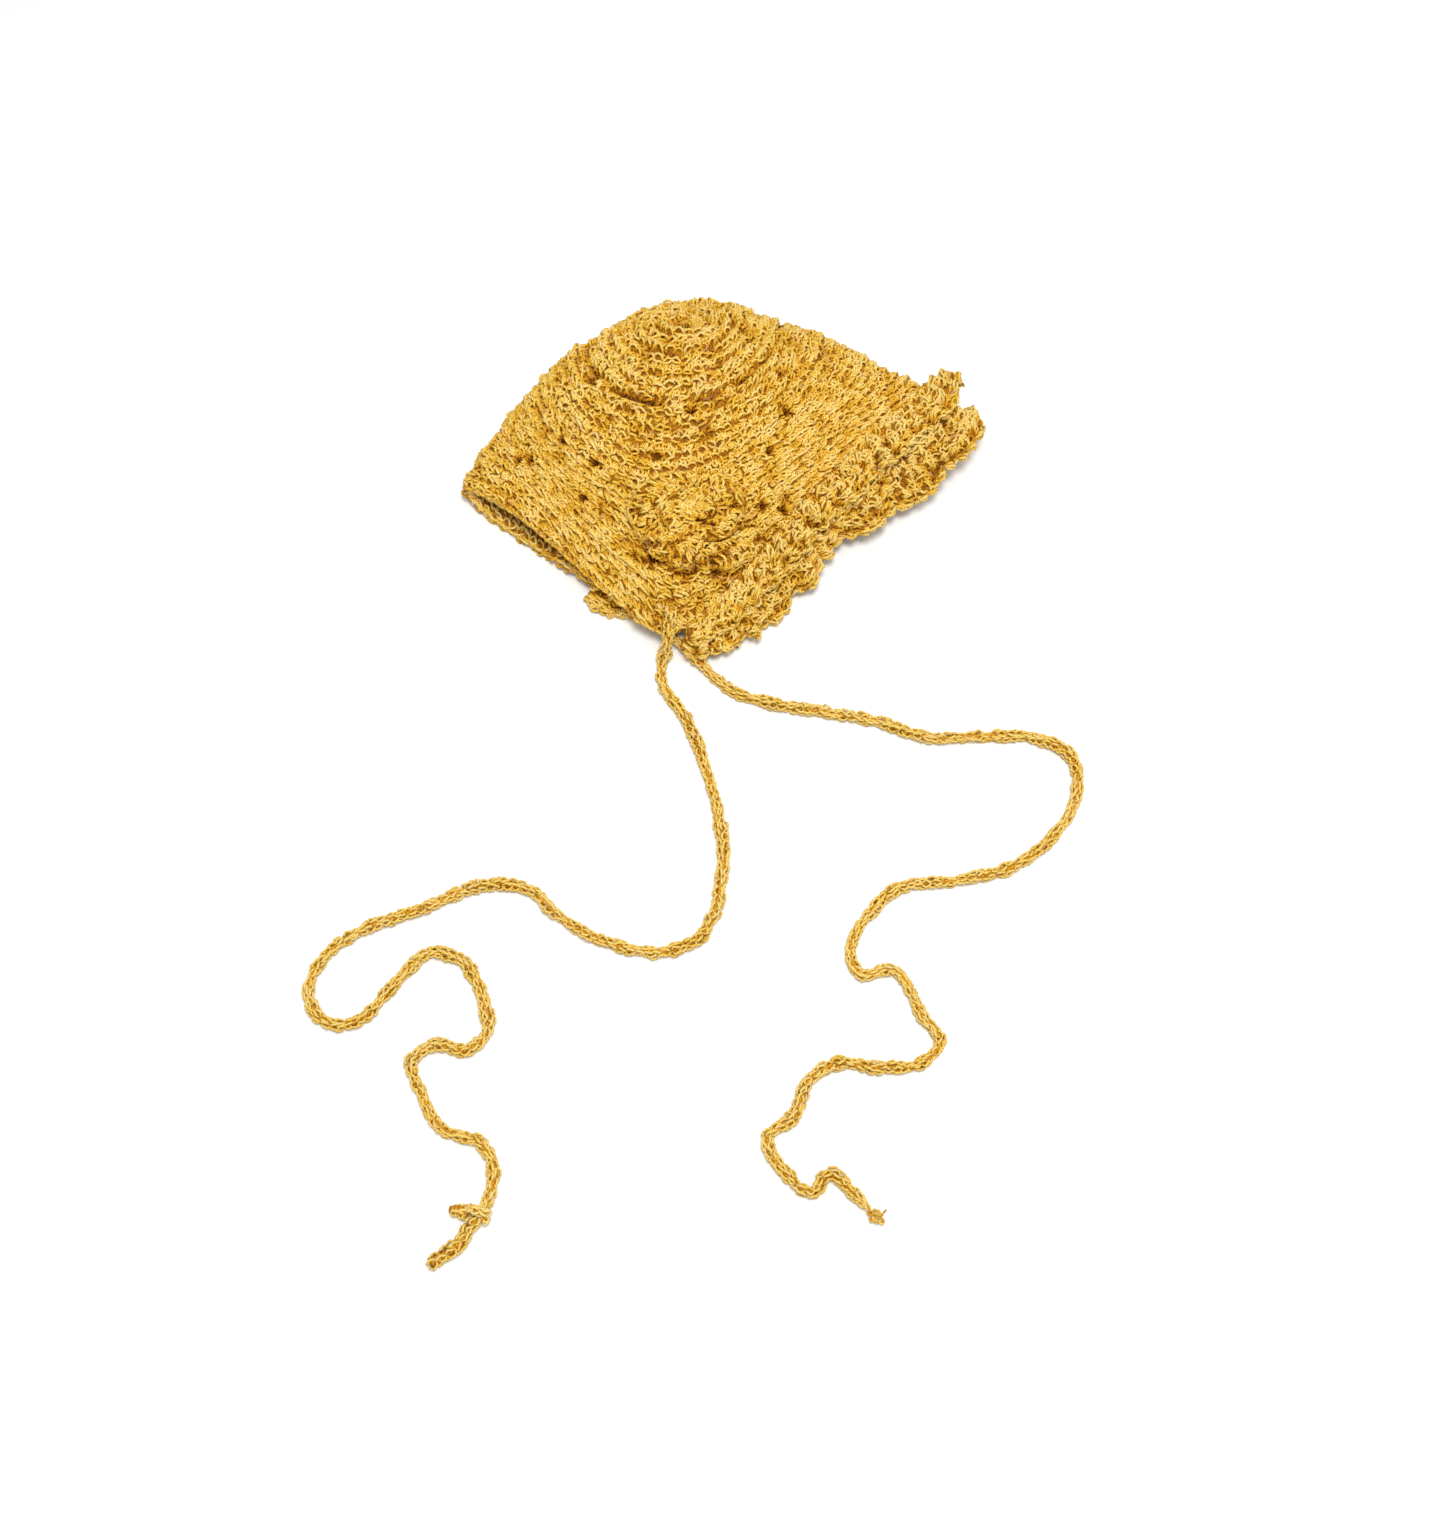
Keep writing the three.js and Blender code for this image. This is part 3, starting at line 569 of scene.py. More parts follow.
def linked(name, mesh):
    """An object for the mesh, in the scene and riding on the part."""
    obj = bpy.data.objects.new(name, mesh)
    bpy.context.scene.collection.objects.link(obj)
    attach(obj, BODY)
    return obj


def swept(name, sections):
    """A closed skin drawn from section to section (sections, points, 3) in mm, with poked ends."""
    bm = bmesh.new()
    column = bm.verts.layers.int.new("column")
    verts = bmesh.ops.create_circle(bm, cap_ends=False, segments=sections.shape[1], radius=1)["verts"]
    for k, vert in enumerate(verts):
        vert[column] = k
        vert.co = sections[0][k] * MM
    first = ring = bm.edges[:]
    for section in sections[1:]:
        ring, verts = next_ring(bm, ring)
        for vert in verts:
            vert.co = section[vert[column]] * MM
    ends = bmesh.ops.holes_fill(bm, edges=[*first, *ring], sides=0)["faces"]
    bmesh.ops.poke(bm, faces=ends)
    bmesh.ops.recalc_face_normals(bm, faces=bm.faces)
    for face in bm.faces:
        face.smooth = True
    mesh = bpy.data.meshes.new(name)
    bm.to_mesh(mesh)
    bm.free()
    return linked(name, mesh)


def smooth_route(route, step):
    """Points (mm) at about equal steps on one smooth curve through the route's points, and its length."""
    points = np.array(route, float)
    points = np.vstack((2 * points[0] - points[1], points, 2 * points[-1] - points[-2]))
    gaps = np.sqrt(np.linalg.norm(np.diff(points, axis=0), axis=1))
    t = np.linspace(0, 1, 16, endpoint=False)[:, None]
    curve = []
    for i in range(1, len(points) - 2):
        a, b, c, d = points[i - 1:i + 3]
        before, here, after = gaps[i - 1:i + 2]
        leave = ((b - a) / before - (c - a) / (before + here) + (c - b) / here) * here
        arrive = ((c - b) / here - (d - b) / (here + after) + (d - c) / after) * here
        curve.append(curve_between(b, c, leave, arrive, t))
    curve = np.vstack([*curve, points[-2:-1]])
    run = run_along(curve)
    wanted = np.linspace(0, run[-1], max(3, round(run[-1] / step) + 1))
    return points_at(curve, run, wanted), float(run[-1])


def cord_surface(path, radii):
    """The round surface of a cord: s goes once round it, and t from its start to its end."""
    tangent = unit(np.gradient(path, axis=0))
    side = unit(np.cross(tangent, (0, 0, 1)))
    top = np.cross(side, tangent)
    angles = np.linspace(0, 2 * math.pi, 24, endpoint=False)
    radial = np.cos(angles)[:, None] * side[:, None] + np.sin(angles)[:, None] * top[:, None]
    return Cloth(path[:, None] + radial * np.asarray(radii)[:, None, None], closed=True)


def yarn_shade_and_tone(out, rng):
    """How light each strand's points are painted: painted shade, brown deep in the stitches, painted light on
    their highest points, and each strand a little its own.
    """
    upper_share, own = 0.75, 0.13
    upper, lower = fade(DEEP_AT, LIGHT_AT, out), fade(HOLLOW_AT, DEEP_AT, out)
    return upper_share * upper + (1 - upper_share) * lower + own * rng.normal(size=(len(out), 1))


def level(height):
    """A height that is the same all over a cloth."""
    return lambda s, t: np.full_like(s, height)


def dips(points, places, depth, radius):
    """How deep (mm) small holes round the places go at each point."""
    gaps = ((points[..., None, :] - places) ** 2).sum(axis=-1)
    return depth * np.exp(-gaps / radius**2).max(axis=-1)


def crease_share(points):
    """How far a place lies in one of the drawn creases: 1 on its line, 0 away from it."""
    plan, share = points[..., :2], np.zeros(points.shape[:-1])
    for line in CREASES:
        for start, end in zip(line, line[1:]):
            start, run = np.array(start), np.subtract(end, start)
            along = np.clip(((plan - start) @ run) / (run @ run), 0, 1)
            gaps = ((plan - start - along[..., None] * run) ** 2).sum(axis=-1)
            share = np.maximum(share, np.exp(-gaps / CREASE_REACH**2))
    return share * (points[..., 2] > CREASES_ABOVE)


def lay_stitches(strands, cloth, row, count, pattern, rng, options):
    """Lays one row of stitches on a cloth: each is the same few strands, and none is quite like the next.

    row is where it starts and ends in t. options are yarn (diameter, mm), wobble, turn (radians), lift (the
    height for s and t), and where wanted shift (stitches), shade (how much painted shade darkens it) and seen
    (where the whole pattern shows).
    """
    start, end = row
    wobble = options["wobble"]
    places = np.arange(count) + 0.5 + rng.normal(0, PLACE_WOBBLE * wobble, count) + options.get("shift", 0.0)
    swells = rng.normal(0, STITCH_SWELL, count)
    seen = options["seen"](places / count) if "seen" in options else np.full(count, True)
    for shape in pattern:
        chosen = np.arange(count) if shape in HIDDEN_STITCH else np.flatnonzero(seen)
        if len(chosen) == 0:
            continue
        place, one_each = places[chosen, None], (len(chosen), 1)
        u, v, w = np.array(shape).T
        turn = rng.normal(0, options["turn"], one_each)
        across, down = (u - u.mean()) / STITCH_ASPECT, v - v.mean()
        turned_u = u.mean() + (across * np.cos(turn) - down * np.sin(turn)) * STITCH_ASPECT
        turned_v = v.mean() + across * np.sin(turn) + down * np.cos(turn)
        du, dv = (
            rng.normal(0, wobble, one_each) + rng.normal(0, POINT_WOBBLE * wobble, (len(chosen), len(u)))
            for _ in range(2)
        )
        s = (place + turned_u + du) / count
        t = start + (turned_v + dv) * (end - start)
        out = w + swells[chosen, None] + rng.normal(0, STRAND_SWELL, one_each) + options["lift"](s, t)
        paths = cloth.at(s, t, out)
        # Painted shade and light: darker round holes, in creases and deep inside the rim, paler near the
        # rim's edge
        shade = options.get("shade", level(0))(s, t) + CREASE_SHADE * crease_share(paths)
        tone = np.clip(yarn_shade_and_tone(out, rng) - shade, 0, 1)
        strands.add(paths, cloth.normal(s, t), options["yarn"] / 2 * rng.uniform(*YARN_FROM_TO), tone)


def lay_cord(strands, path, length, radii, sizes, rng):
    """A crocheted cord along a path (mm): a core, and V-shaped loops in columns round it."""
    columns, spiral = 4, 0.06
    wobble, point_wobble, swell = 0.12, 0.05, 0.2
    bumps, bump_wavelength = 0.35, 7
    # The core's low tone is painted shade, for lying under the loops
    core_inset, core_shade_tone, core_step = 0.2, 0.3, 3
    yarn = sizes.yarn / MM
    core_path, core = path[::core_step], radii - yarn
    up = np.broadcast_to((0.0, 0.0, 1.0), core_path.shape)
    strands.add(core_path[None], up[None], (core - core_inset)[::core_step], core_shade_tone)
    cloth = cord_surface(path, core)
    stitches = round(length / (sizes.tie_stitch / MM))
    for column in range(columns):
        for shape in TIE_STITCH:
            along, around, out = np.array(shape).T
            step = np.arange(stitches) + 0.5 * (column % 2)
            dt, ds = (
                rng.normal(0, wobble, (stitches, 1)) + rng.normal(0, point_wobble, (stitches, len(along)))
                for _ in range(2)
            )
            t = np.clip((step[:, None] + along + dt) / (stitches + 1), 0, 1)
            s = (column + 0.5 + around + ds + spiral * step[:, None]) / columns
            bump = bumps * unevenness(cloth.at(s, t), bump_wavelength, SEED)
            height = out + rng.normal(0, swell, (stitches, 1)) + bump
            tone = TIE_TONES * yarn_shade_and_tone(np.tile(out, (stitches, 1)), rng) + TIE_PALENESS
            strands.add(cloth.at(s, t, height), cloth.normal(s, t), TIE_YARN * yarn / 2, np.clip(tone, 0, 1))


def crocheted_tie(name, route, sizes, seed, tail):
    """A tie, thicker or thinner along its last mm: gives the piece, its path and its length.

    tail is the length of that last stretch and its thickness as a share of the tie's.
    """
    path, length = smooth_route(route, 1.0)
    stretch, thickness = tail
    to_go = (1 - np.linspace(0, 1, len(path))) * length
    swell = 1 + (thickness - 1) * (1 - fade(0.7 * stretch, stretch, to_go))
    strands = Strands()
    lay_cord(strands, path, length, sizes.tie / MM / 2 * swell, sizes, np.random.default_rng(seed))
    return strands.make(name, TIE_SOFT), path * MM, length * MM


def small_holes():
    """Where the small holes between the stitches lie, in s and t."""
    rng = np.random.default_rng(SEED + 80)
    near_side, rounds = (0.03, 0.47), (0.1, 0.85)
    return rng.uniform(*near_side, SMALL_HOLES), np.sqrt(rng.uniform(*rounds, SMALL_HOLES))


def shaded(obj, places, radius):
    """Paints shade on a cloth round the places, as its shade attribute."""
    mesh = obj.data
    points = np.empty(3 * len(mesh.vertices), np.float32)
    mesh.vertices.foreach_get("co", points)
    dark = dips(points.reshape(-1, 3) / MM, places, 1.0, radius)
    mesh.attributes.new("shade", "FLOAT", "POINT").data.foreach_set("value", dark.astype(np.float32))


def cap_relief(cap, rounds):
    """How far (mm) the cap's stitches stand proud: uneven tension, ropes, grooves, creases and holes."""
    holes = cap.at(*small_holes())
    uneven, wavelength = CAP_UNEVENNESS

    def lift(s, t):
        points = cap.at(s, t)
        run = t * rounds
        height = uneven * unevenness(points, wavelength, SEED)
        height = height - CROWN_HOLE * np.exp(-((run / CROWN_HOLE_REACH) ** 2))
        broken = np.clip(0.75 + 0.6 * unevenness(points, BROKEN_WAVELENGTH, SEED + 1), 0.1, 1.3)
        for after, depth in CROWN_GROOVES:
            height = height - broken * depth * np.exp(-(((run - after - ROPE_PHASE) / GROOVE_WIDTH) ** 2))
        rope = np.abs(np.sin(math.pi * (run - ROPE_PHASE))) ** 0.6
        standing = ROPE_ON_SIDES + (ROPE_AT_CROWN - ROPE_ON_SIDES) * (1 - fade(0.2, 0.45, t))
        height = height + broken * standing * (rope - 0.7)
        height = height - CREASE_DEPTH * crease_share(points)
        return height - dips(points, holes, HOLE_DEPTH, HOLE_RADIUS)

    return lift


def on_near_half(s):
    """Which stitches of a round aren't under the cap, where it lies on the floor."""
    first, last = NEAR_HALF_FROM_TO
    return (s % 1 < last) | (s % 1 > first)


def inner_side(cloth, wall):
    """The cap's inner surface as a cloth that faces the hollow, so many mm further in."""
    points = cloth.points - cloth.normals * wall
    points[..., 2] = np.maximum(points[..., 2], wall)
    return Cloth(points[:, ::-1], cloth.t_low, cloth.t_high, True)


def facing(points, outward, closed=False):
    """A cloth of these points whose normals agree with the outward directions."""
    cloth = Cloth(points, closed=closed)
    if (cloth.normals * outward).sum() < 0:
        cloth = Cloth(points[:, ::-1], closed=closed)
    return cloth


# How the frill's two tiers stand, close to the solid's, in mm
FRILL_FROM = 0.257
FRILL_TO = 0.775
FRILL_THICK = 3
FRILL_ROOT_THICK = 1.2
FRILL_STATIONS = 360
FRILL_SHARES = 9
FRILL_TUCK = 0.14
SCALLOP_PITCH = 13.55
# Where the valleys between the near side's lobes lie, from the near ear corner to the forehead fold
FRILL_VALLEYS = (0, 10, 24, 31, 46, 58, 67, 88, 108, 142)
FRILL_PUFF = 1.2
FRILL_DROOP = 1.0
FRILL_LOBES = 1.4
FRILL_KNOBS = 1.3
FRILL_KNOB_SIZE = 4.6
GAP = 0.35
FRILL_SEAT = 0.45
FAR_FRILL_SQUASHED = (0.52, 0.58)
# The rosette is one puffed, scalloped strip coiled flat on the near side, as in the solid (mm and degrees)
ROSETTE_CENTRE = (-10, -27.5)
ROSETTE_TURNS = 2.15
ROSETTE_START_RADIUS = 1.8
ROSETTE_PITCH = 8.6
ROSETTE_SQUASH = 0.68
ROSETTE_SEAM = 0.2
ROSETTE_HEIGHTS = (5.6, 4.4)
ROSETTE_PETALS = 3.4
ROSETTE_PETAL_PHASE = 1.04
ROSETTE_PETAL_DIP = 0.5
ROSETTE_PETAL_REACH = 3.6
ROSETTE_END_ANGLE = -10
ROSETTE_SEAT = 0.4
ROSETTE_END_SHARE = 0.45
ROSETTE_END_FULLNESS = 5
ROSETTE_STEPS = 200
OUTER_TURN_SHARE = 0.62
ROSETTE_SEAM_HEIGHT = 0.8
ROSETTE_BUD_RADIUS = 5.0
ROSETTE_BUD_HEIGHT = 4.6
# The strip's cross-section from its inner foot over its crest to its outer foot
ROSETTE_ACROSS = (-1.00, -0.85, -0.35, 0.25, 0.80, 1.00, 0.90)
ROSETTE_UP = (0.00, 0.45, 0.86, 1.00, 0.80, 0.35, 0.00)


def frill_value(column, at):
    """One column of the frill's table at each station."""
    return np.array([read_table(FRILL_ROWS, "at", column, a)[0] for a in at])[:, None]


def front_stations(cap):
    """Stations along the front edge with its directions, from the near ear corner to the far one."""
    turns = np.linspace(FRILL_FROM, FRILL_TO, 601)
    lengths = run_along(cap.read(cap.points, turns, np.full_like(turns, 1.0)))
    run = np.linspace(0, lengths[-1], FRILL_STATIONS + 1)
    turn = np.interp(run, lengths, turns)
    one = np.full_like(turn, 1.0)
    edge = cap.read(cap.points, turn, one)
    along = cap.read(cap.points, turn + 0.008, one) - cap.read(cap.points, turn - 0.008, one)
    growth = unit(edge - cap.read(cap.points, turn, 0.92 * one))
    return {
        "at": run / run[-1], "run": run[:, None], "turn": turn, "edge": edge, "growth": growth,
        "flat_growth": unit(growth * (1, 1, 0)), "outward": unit(np.cross(growth, along)),
    }


def lobes_passed(run):
    """How many of the frill's lobes lie between the near ear corner and this place along the edge."""
    last = FRILL_VALLEYS[-1]
    valleys = np.concatenate((FRILL_VALLEYS, np.arange(last, last + 200, SCALLOP_PITCH)[1:]))
    return np.interp(run, valleys, np.arange(len(valleys)))


def lobe(run):
    """A lobe's roundness along the edge: 0 in the valleys and 1 on its crest."""
    return np.abs(np.sin(math.pi * lobes_passed(run)))


def lower_frill_face(stations, side):
    """Upper (side 1) or under (side -1) face of the lower tier, as rows from its root to its edge."""
    at, run = stations["at"], stations["run"]
    wave = np.sin(math.pi * lobes_passed(run)) * frill_value("ruffle", at)
    width = frill_value("lower_width", at) * (0.80 + 0.23 * lobe(run) ** 0.5)
    drop = frill_value("lower_drop", at)[:, 0]
    wall = bpy.context.scene.bonnet_sizes.wall / MM
    rows = []
    for share in np.linspace(-FRILL_TUCK, 1, FRILL_SHARES):
        point = stations["edge"] - stations["outward"] * wall / 2
        point = point + stations["flat_growth"] * (2 * GAP + width * share)
        point = point + stations["outward"] * (side * FRILL_THICK / 2 + wave * share)
        point[:, 2] += drop * max(share, 0) ** 1.2
        lowest = np.where(side * stations["outward"][:, 2] > 0, FRILL_THICK, 0)
        point[:, 2] = np.maximum(point[:, 2], lowest)
        rows.append(point)
    return np.stack(rows)


def upper_frill_face(cap, stations, side):
    """Upper (side 1) or under (side -1) face of the upper tier, as rows from its root to its edge."""
    at, run = stations["at"], stations["run"]
    wave = 0.6 * (1 + lobe(run)) * frill_value("ruffle", at)
    rise = frill_value("upper_rise", at) + wave
    width = frill_value("upper_width", at) * (0.88 + 0.16 * lobe(run))
    root = cap.read(cap.points, stations["turn"], frill_value("upper_root", at)[:, 0])
    squashed = fade(*FAR_FRILL_SQUASHED, at)
    rows = []
    for share in np.linspace(0, 1, FRILL_SHARES):
        thick = FRILL_ROOT_THICK + (FRILL_THICK - FRILL_ROOT_THICK) * min(1, 2 * share)
        point = root + stations["growth"] * width * share
        point = point + stations["outward"] * (GAP + FRILL_SEAT + rise * share + (1 + side) * thick / 2)
        flat = 0 if side > 0 else FRILL_THICK
        point[:, 2] = np.maximum(point[:, 2], 0) * (1 - squashed) + flat * squashed
        rows.append(point)
    return np.stack(rows)


def ruffled(cloth, run_at, seed):
    """Height (mm) by which a frill's cloth waves in and out: its lobes, knobbly gathers and pits."""
    rng = np.random.default_rng(seed)
    pit_s = (np.arange(PITS) + rng.uniform(0.2, 0.8, PITS)) / PITS
    pits = cloth.at(pit_s, rng.uniform(0.05, 0.7, PITS))

    def lift(s, t):
        points = cloth.at(s, t)
        lobes = FRILL_LOBES * (lobe(run_at(s)) ** 0.6 - 0.7) * fade(0.2, 1.0, t)
        gathers = FRILL_KNOBS * unevenness(points, FRILL_KNOB_SIZE, seed) * fade(-0.2, 0.3, t)
        return lobes + gathers - dips(points, pits, PIT_DEPTH, PIT_RADIUS)

    return lift


def on_cap(cap, distance, angle, height):
    """Points at a distance and angle from the rosette's centre in plan, at a height above the cap (mm)."""
    x = ROSETTE_CENTRE[0] + np.cos(angle) * distance
    y = ROSETTE_CENTRE[1] + np.sin(angle) * ROSETTE_SQUASH * distance
    points = np.stack((x, y, np.zeros_like(x)), axis=1) - ORIGIN
    points[:, 2] = height_of_cap(cap, points) + GAP + ROSETTE_SEAT + height
    return points


def height_of_cap(cap, points):
    """Height of the cap's top side at places in plan, from the nearest of its points."""
    top = cap.points[:, : cap.points.shape[1] // 2].reshape(-1, 3)
    neighbours = 6
    heights = []
    for point in points:
        gap = ((top[:, :2] - point[:2]) ** 2).sum(axis=1)
        nearest = np.argpartition(gap, neighbours)[:neighbours]
        weight = 1 / (gap[nearest] + 0.05)
        heights.append((top[nearest, 2] * weight).sum() / weight.sum())
    return np.array(heights)


def rosette_rows(cap, across, up):
    """Rows of points along the coiled strip, one for each place in its cross-section."""
    share = np.linspace(0, 1, 4 * ROSETTE_STEPS)
    run = (ROSETTE_START_RADIUS + ROSETTE_PITCH * ROSETTE_TURNS * share).cumsum()
    share = np.interp(np.linspace(run[0], run[-1], ROSETTE_STEPS + 1), run, share)
    turned = (share - 1) * ROSETTE_TURNS * 2 * math.pi
    angle = math.radians(ROSETTE_END_ANGLE) + turned
    petal = np.abs(np.sin(ROSETTE_PETALS * turned / 2 + ROSETTE_PETAL_PHASE))
    ends = np.minimum(1, np.sin(math.pi * share) * ROSETTE_END_FULLNESS + ROSETTE_END_SHARE)
    height = np.interp(share, (0, 1), ROSETTE_HEIGHTS) * (1 - ROSETTE_PETAL_DIP * (1 - petal)) * ends
    middle = ROSETTE_START_RADIUS + ROSETTE_PITCH * ROSETTE_TURNS * share
    half_width = (ROSETTE_PITCH - ROSETTE_SEAM) / 2 * ends
    reach = np.where(turned > -2 * math.pi, ROSETTE_PETAL_REACH * petal, 0)
    return np.stack([
        on_cap(cap, middle + half_width * a + reach * max(a, 0), angle, u * height)
        for a, u in zip(across, up)
    ])


def rosette_bud(cap):
    """The low dome of stitches that fills the middle of the coil."""
    angles = np.linspace(0, 2 * math.pi, 24, endpoint=False)
    rows = [
        on_cap(cap, ROSETTE_BUD_RADIUS * share, angles, ROSETTE_BUD_HEIGHT * (1 - 0.2 * share**2))
        for share in np.linspace(0.04, 1, 6)
    ]
    return facing(np.stack(rows), (0, 0, 1), closed=True)


def rosette_up(across, up):
    """Heights across the strip for each step: neighbouring turns touch, only the outer foot is bare."""
    outermost = np.linspace(0, 1, ROSETTE_STEPS + 1) > 1 - OUTER_TURN_SHARE
    held = np.where((across[:, None] > 0) & outermost, 0.0, ROSETTE_SEAM_HEIGHT)
    return np.maximum(up[:, None], held)


def rows_between(first, last, count):
    """Rows of points spread evenly from the first row to the last."""
    share = np.linspace(0, 1, count)[:, None, None]
    return first * (1 - share) + last * share


def slab_sections(upper, under):
    """Closed cross-sections of the plain cloth between its upper and under rows."""
    return np.swapaxes(np.concatenate((upper, under[::-1])), 0, 1)


def edge_chain(strands, upper, under, count, rng, options):
    """Loops over the frill's free edge, from its upper to its under rows, bulging in small picots."""
    smoothing, rows, bulge = 12, 5, 0.9
    growth = unit(upper[-1] - upper[-2])
    for _ in range(smoothing):
        growth[1:-1] = unit(growth[1:-1] + (growth[2:] + growth[:-2]) / 2)
    edge = rows_between(upper[-1], under[-1], rows)
    edge += growth * (bulge * np.sin(math.pi * np.linspace(0, 1, rows)))[:, None, None]
    cloth = facing(edge, growth)

    def picots(s, t):
        along = np.abs(np.sin(math.pi * s * count * PICOTS_A_STITCH))
        return PICOT_REACH * along * np.sin(math.pi * np.clip(t, 0, 1))

    made = dict(options, lift=picots, wobble=0.07, turn=0.15)
    for row in ((-0.15, 0.5), (0.3, 1.0)):
        lay_stitches(strands, cloth, row, count, EDGE_STITCH, rng, made)


# Painted shade at the bottom of a hole, yarn where its dye has faded to a pinkish tan, and the tint of its
# gloss
HOLE_SHADE_COLOUR = "2E1606"
FADED_YARN = "E9BE8C"
YARN_GLOSS = "FFE9AE"


def add_node(tree, kind, settings=None, links=None):
    """A node with its settings and inputs: a value sets a socket, and a node's output links to it."""
    node = tree.nodes.new(kind)
    for name, value in (settings or {}).items():
        setattr(node, name, value)
    for name, value in (links or {}).items():
        socket = node.inputs[name]
        if isinstance(value, bpy.types.NodeSocket):
            tree.links.new(value, socket)
        else:
            socket.default_value = value
    return node


def new_material(name):
    """A material without nodes, and its node tree."""
    material = bpy.data.materials.new(name)
    material.use_nodes = True
    material.node_tree.nodes.clear()
    return material, material.node_tree


def crocheted_yarn(colours):
    """Glossy two-ply cotton yarn: gold, with painted shade brown deep in the loops and a thin painted
    highlight along each strand's crest.

    Its fibres are drawn about ten times coarser than real ones, which are too fine to show at this size.
    """
    ply_length, fibre_width, dye_patch, fade_patch = 2.6, 0.12, 14, 4
    # The painted highlight along each strand's crest: where round the strand it lies and how wide it is
    crest, crest_width = 0.25, 0.13
    # tone_share: how much the tone's painted shade counts; gleam_share: how strong the painted highlight is
    dye_share, ply_share, tone_share, gleam_share = 0.5, 0.2, 0.75, 0.42
    mean_dye, mean_plies = 0.5, 0.64
    evened_out = -tone_share * (dye_share * mean_dye + ply_share * mean_plies)
    material, tree = new_material("glossy two-ply cotton yarn")
    place = add_node(tree, "ShaderNodeTexCoord")
    yarn_map = add_node(tree, "ShaderNodeUVMap", {"uv_map": "yarn"})
    parts = add_node(tree, "ShaderNodeSeparateXYZ", links={"Vector": yarn_map.outputs["UV"]})
    tone = add_node(tree, "ShaderNodeAttribute", {"attribute_name": "tone"})
    fibre_place = add_node(tree, "ShaderNodeMapping", links={
        "Vector": yarn_map.outputs["UV"], "Scale": (0.8, 3.0 / fibre_width, 1),
    })
    fibres = add_node(tree, "ShaderNodeTexNoise", links={
        "Vector": fibre_place.outputs[0], "Scale": 1.0, "Detail": 2.0,
    })
    dye = add_node(tree, "ShaderNodeTexNoise", links={
        "Vector": place.outputs["Object"], "Scale": 1 / (dye_patch * MM), "Detail": 2.0,
    })
    worn = add_node(tree, "ShaderNodeTexNoise", links={
        "Vector": place.outputs["Object"], "Scale": 1 / (fade_patch * MM), "Detail": 1.0,
    })
    values = {
        "along": parts.outputs["X"], "around": parts.outputs["Y"], "tone": tone.outputs["Fac"],
        "fibres": fibres.outputs["Fac"], "dye": dye.outputs["Fac"],
    }
    for name, operation, *terms in (
        ("turns", "MULTIPLY_ADD", "along", 1 / ply_length, "around"),
        ("angle", "MULTIPLY", "turns", 2 * math.pi),
        ("swing", "SINE", "angle"),
        ("plies", "ABSOLUTE", "swing"),
        ("relief", "MULTIPLY_ADD", "fibres", 0.25, "plies"),
        ("aside", "SUBTRACT", "around", crest),
        ("off_crest", "ABSOLUTE", "aside"),
        ("lit_plies", "MULTIPLY", "plies", "tone"),
        ("uneven", "MULTIPLY_ADD", "dye", dye_share, "tone"),
        ("twisted", "MULTIPLY_ADD", "plies", ply_share, "uneven"),
        ("base", "MULTIPLY_ADD", "twisted", tone_share, evened_out),
    ):
        links = {k: values.get(term, term) for k, term in enumerate(terms)}
        values[name] = add_node(tree, "ShaderNodeMath", {"operation": operation}, links).outputs[0]
    # Painted highlight: a thin pale line along each strand's crest, stronger where the plies and the tone are
    # light
    light = add_node(tree, "ShaderNodeMapRange", {"interpolation_type": "SMOOTHSTEP"}, {
        "Value": values["off_crest"], "From Min": crest_width, "From Max": 0.0, "To Max": gleam_share,
    })
    share = add_node(tree, "ShaderNodeMath", {"operation": "MULTIPLY_ADD"}, {
        0: light.outputs["Result"], 1: values["lit_plies"], 2: values["base"],
    })
    # From painted shade (hollow, deep) through gold to painted highlight (light)
    ramp = add_node(tree, "ShaderNodeValToRGB", links={"Fac": share.outputs[0]})
    stops = ramp.color_ramp.elements
    stops[0].color, stops[1].color = (*colours.hollow, 1), (*colours.light, 1)
    for position, colour in ((0.25, colours.deep), (0.62, colours.gold)):
        stops.new(position).color = (*colour, 1)
    faded = add_node(tree, "ShaderNodeMapRange", links={
        "Value": worn.outputs["Fac"], "From Min": 0.58, "From Max": 0.8, "To Max": 0.45,
    })
    colour = add_node(tree, "ShaderNodeMix", {"data_type": "RGBA"}, {
        "Factor": faded.outputs["Result"], 6: ramp.outputs["Color"], 7: (*linear(FADED_YARN), 1),
    })
    bump = add_node(tree, "ShaderNodeBump", links={
        "Strength": 0.9, "Distance": 0.16 * MM, "Height": values["relief"],
    })
    shader = add_node(tree, "ShaderNodeBsdfPrincipled", links={
        "Base Color": colour.outputs[2], "Roughness": 0.42, "IOR": 1.53, "Specular IOR Level": 0.2,
        "Specular Tint": (*linear(YARN_GLOSS), 1), "Normal": bump.outputs["Normal"],
    })
    add_node(tree, "ShaderNodeOutputMaterial", links={"Surface": shader.outputs[0]})
    return material


